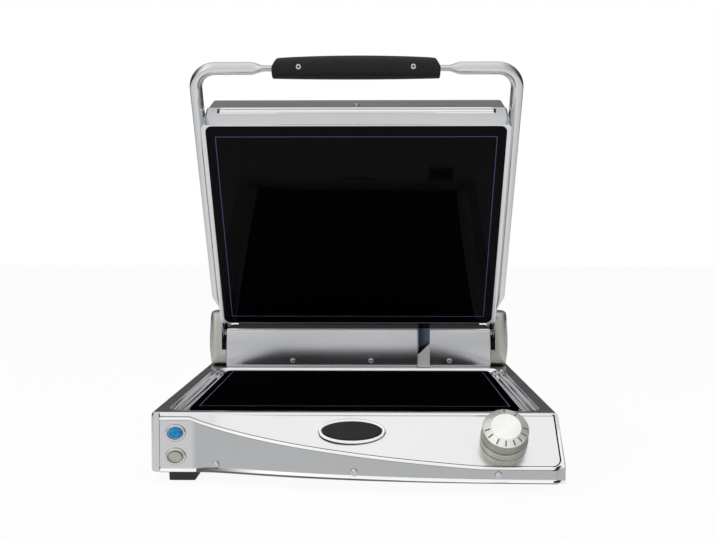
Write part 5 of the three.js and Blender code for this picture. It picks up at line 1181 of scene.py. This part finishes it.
def hinge_cover():
    """Folded cover between the pods with a rolled upper front edge and a lip behind. The roll carries a painted
    highlight, the top is painted black as shade, and the lip is a dark strip that stands for shadow.
    """
    half, front, back, top, sheet = 174.05, HINGE_FRONT, 358.1, 50.0, 1.2
    roll_low, roll_high = 45.8, 49.4
    lip_place = Matrix.Translation((0, 353, 51.4))
    edge = ((0.3, 0.0), (1.0, 0.0), (8.0, 0.0), (14.0, 0.04), (20.0, 0.14), (26.0, 0.29), (32.0, 0.5),
            (38.0, 0.77), (43.0, 1.03), (45.4, 1.17), (45.8, 1.19), (46.1, 1.205), (49.3, 1.37), (49.6, 1.55),
            (49.85, 2.0), (49.95, 2.5), (50.0, 3.3))
    rows = [rounded_loop(half - sheet, front + sheet, back - sheet, 1.0, z, 4) for z in (top - sheet, 0.3)]
    for z, drawn in edge:
        rows.append(rounded_loop(half - min(drawn * 0.4, 1.0), front + drawn, back - drawn, 1.6, z, 4))

    # Painted light: a brighter steel on the roll as a highlight, black on the top as shade
    def finish_at(x, y, z):
        if roll_low < z < roll_high and y < front + 4:
            return 1
        return 2 if z > top - 0.01 else 0

    bm = lofted(rows)
    paint(bm, finish_at)
    names = ["hinge", "roll", "black_plastic"]
    finished("hinge_cover_skin", moved(bm, TO_WORLD), ["hinge_cover"], names, 40)
    lip = moved(block(330, 3.0, 3.2, 0.5), TO_WORLD @ lip_place)
    riding("cover_rear_painted_shadow_lip", lip, "base", ["shadow"], 30)


def hinge_pod(node):
    """Cast end cap with a slot for the arm, whose inside is painted dark rubber as shade."""
    low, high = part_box(node)
    skin, rim, roof = 0.6 * MM, 3 * MM, 4 * MM

    def finish_at(x, y, z):
        inside = min(abs(x - low[0]), abs(x - high[0])) > skin and low[1] + rim < y < high[1] - rim
        across = abs(x) < abs(low[0] + high[0]) / 2 + rim
        return 1 if inside and across and z < high[2] - roof else 0

    # Painted shade: faces inside the slot get the dark rubber finish
    bm = merged_copy(node)
    paint(bm, finish_at)
    finished(node + "_skin", bm, [node], ["cast", "gaskets"], 32, 0.4 * MM)


def lead_guard():
    """Upright cover of the lid's supply lead, with a painted reflection: dark polished steel above a slanting line
    and light satin below it.
    """
    low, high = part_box("lead_guard")
    line = Vector(((low[0] + high[0]) / 2, low[1], low[2] + 24 * MM))
    bm = merged_copy("lead_guard")
    bmesh.ops.bisect_plane(bm, geom=bm.verts[:] + bm.edges[:] + bm.faces[:], plane_co=line,
                           plane_no=(-0.7, 0, 0.7))
    # Faces above the slanting line get the dark painted reflection, the rest the light satin
    paint(bm, lambda x, y, z: 1 if (z - line.z) - (x - line.x) > 0 else 0)
    finished("lead_guard_skin", bm, ["lead_guard"], ["guard_foot", "guard_painted_reflection"], 32, 0.7 * MM)


def cable_gland():
    """Strain relief with a ribbed nose. The cord is not part of the model."""
    seat, neck, flange, bore = 1.8, 6.5, 9.0, 4.2
    profile = [(bore, -5.2), (neck, -5.2), (neck, seat), (flange - 0.3, seat), (flange, seat + 0.3),
               (flange, seat + 4.7), (flange - 0.5, seat + 5.2), (neck, seat + 5.2)]
    for i in range(4):
        z = seat + 5.8 + i * 0.75
        ridge = neck - 0.1 * i
        groove = neck - 0.45 - 0.1 * i
        profile += [(ridge, z), (groove, z + 0.15), (groove, z + 0.45), (ridge, z + 0.6)]
    profile += [(neck - 0.6, 11.2), (bore + 0.6, 14.8), (bore + 0.2, 15.0), (bore, 14.7), (bore, -5.2)]
    rear_wall = Matrix.Translation((120, 378.6, -34))
    place = TO_WORLD @ rear_wall @ Matrix.Rotation(-math.pi / 2, 4, "X")
    finished("cable_gland_nose", moved(spun(profile, 48), place), ["cable_gland"], ["black_plastic"], 35)


# CAD nodes whose shape is kept, with the radius in millimetres that rounds their edges
ROUNDED = {"base_shell": 0.5, "bottom_plate": 0.2,
           "foot_front_left": 1.0, "foot_front_right": 1.0, "foot_rear_left": 1.0, "foot_rear_right": 1.0}


def rounded_nodes():
    for node, edge in ROUNDED.items():
        finished(node + "_skin", merged_copy(node), [node], [SLOTS[node]], 32, edge * MM)


photo_camera()
lamps()
surroundings()
pale_floor()
FINISH = finishes()
paint_nodes()

control_panel()
front_cover()
panel_corner()
panel_edge()
cheek_fold()
side_fold()
fold_gap_painted_shade()
dial_base_ring()
dial()
arm("arm_left", -1)
arm("arm_right", 1)
grip()
push_buttons()
badge()
screws()
lid_frame()
frame_folds()
frame_seam_painted_shade()
lid_hood()
cooking_plates()
gutter_tray()
hinge_cover()
cable_gland()
hinge_pod("hinge_pod_left")
hinge_pod("hinge_pod_right")
lead_guard()
rounded_nodes()
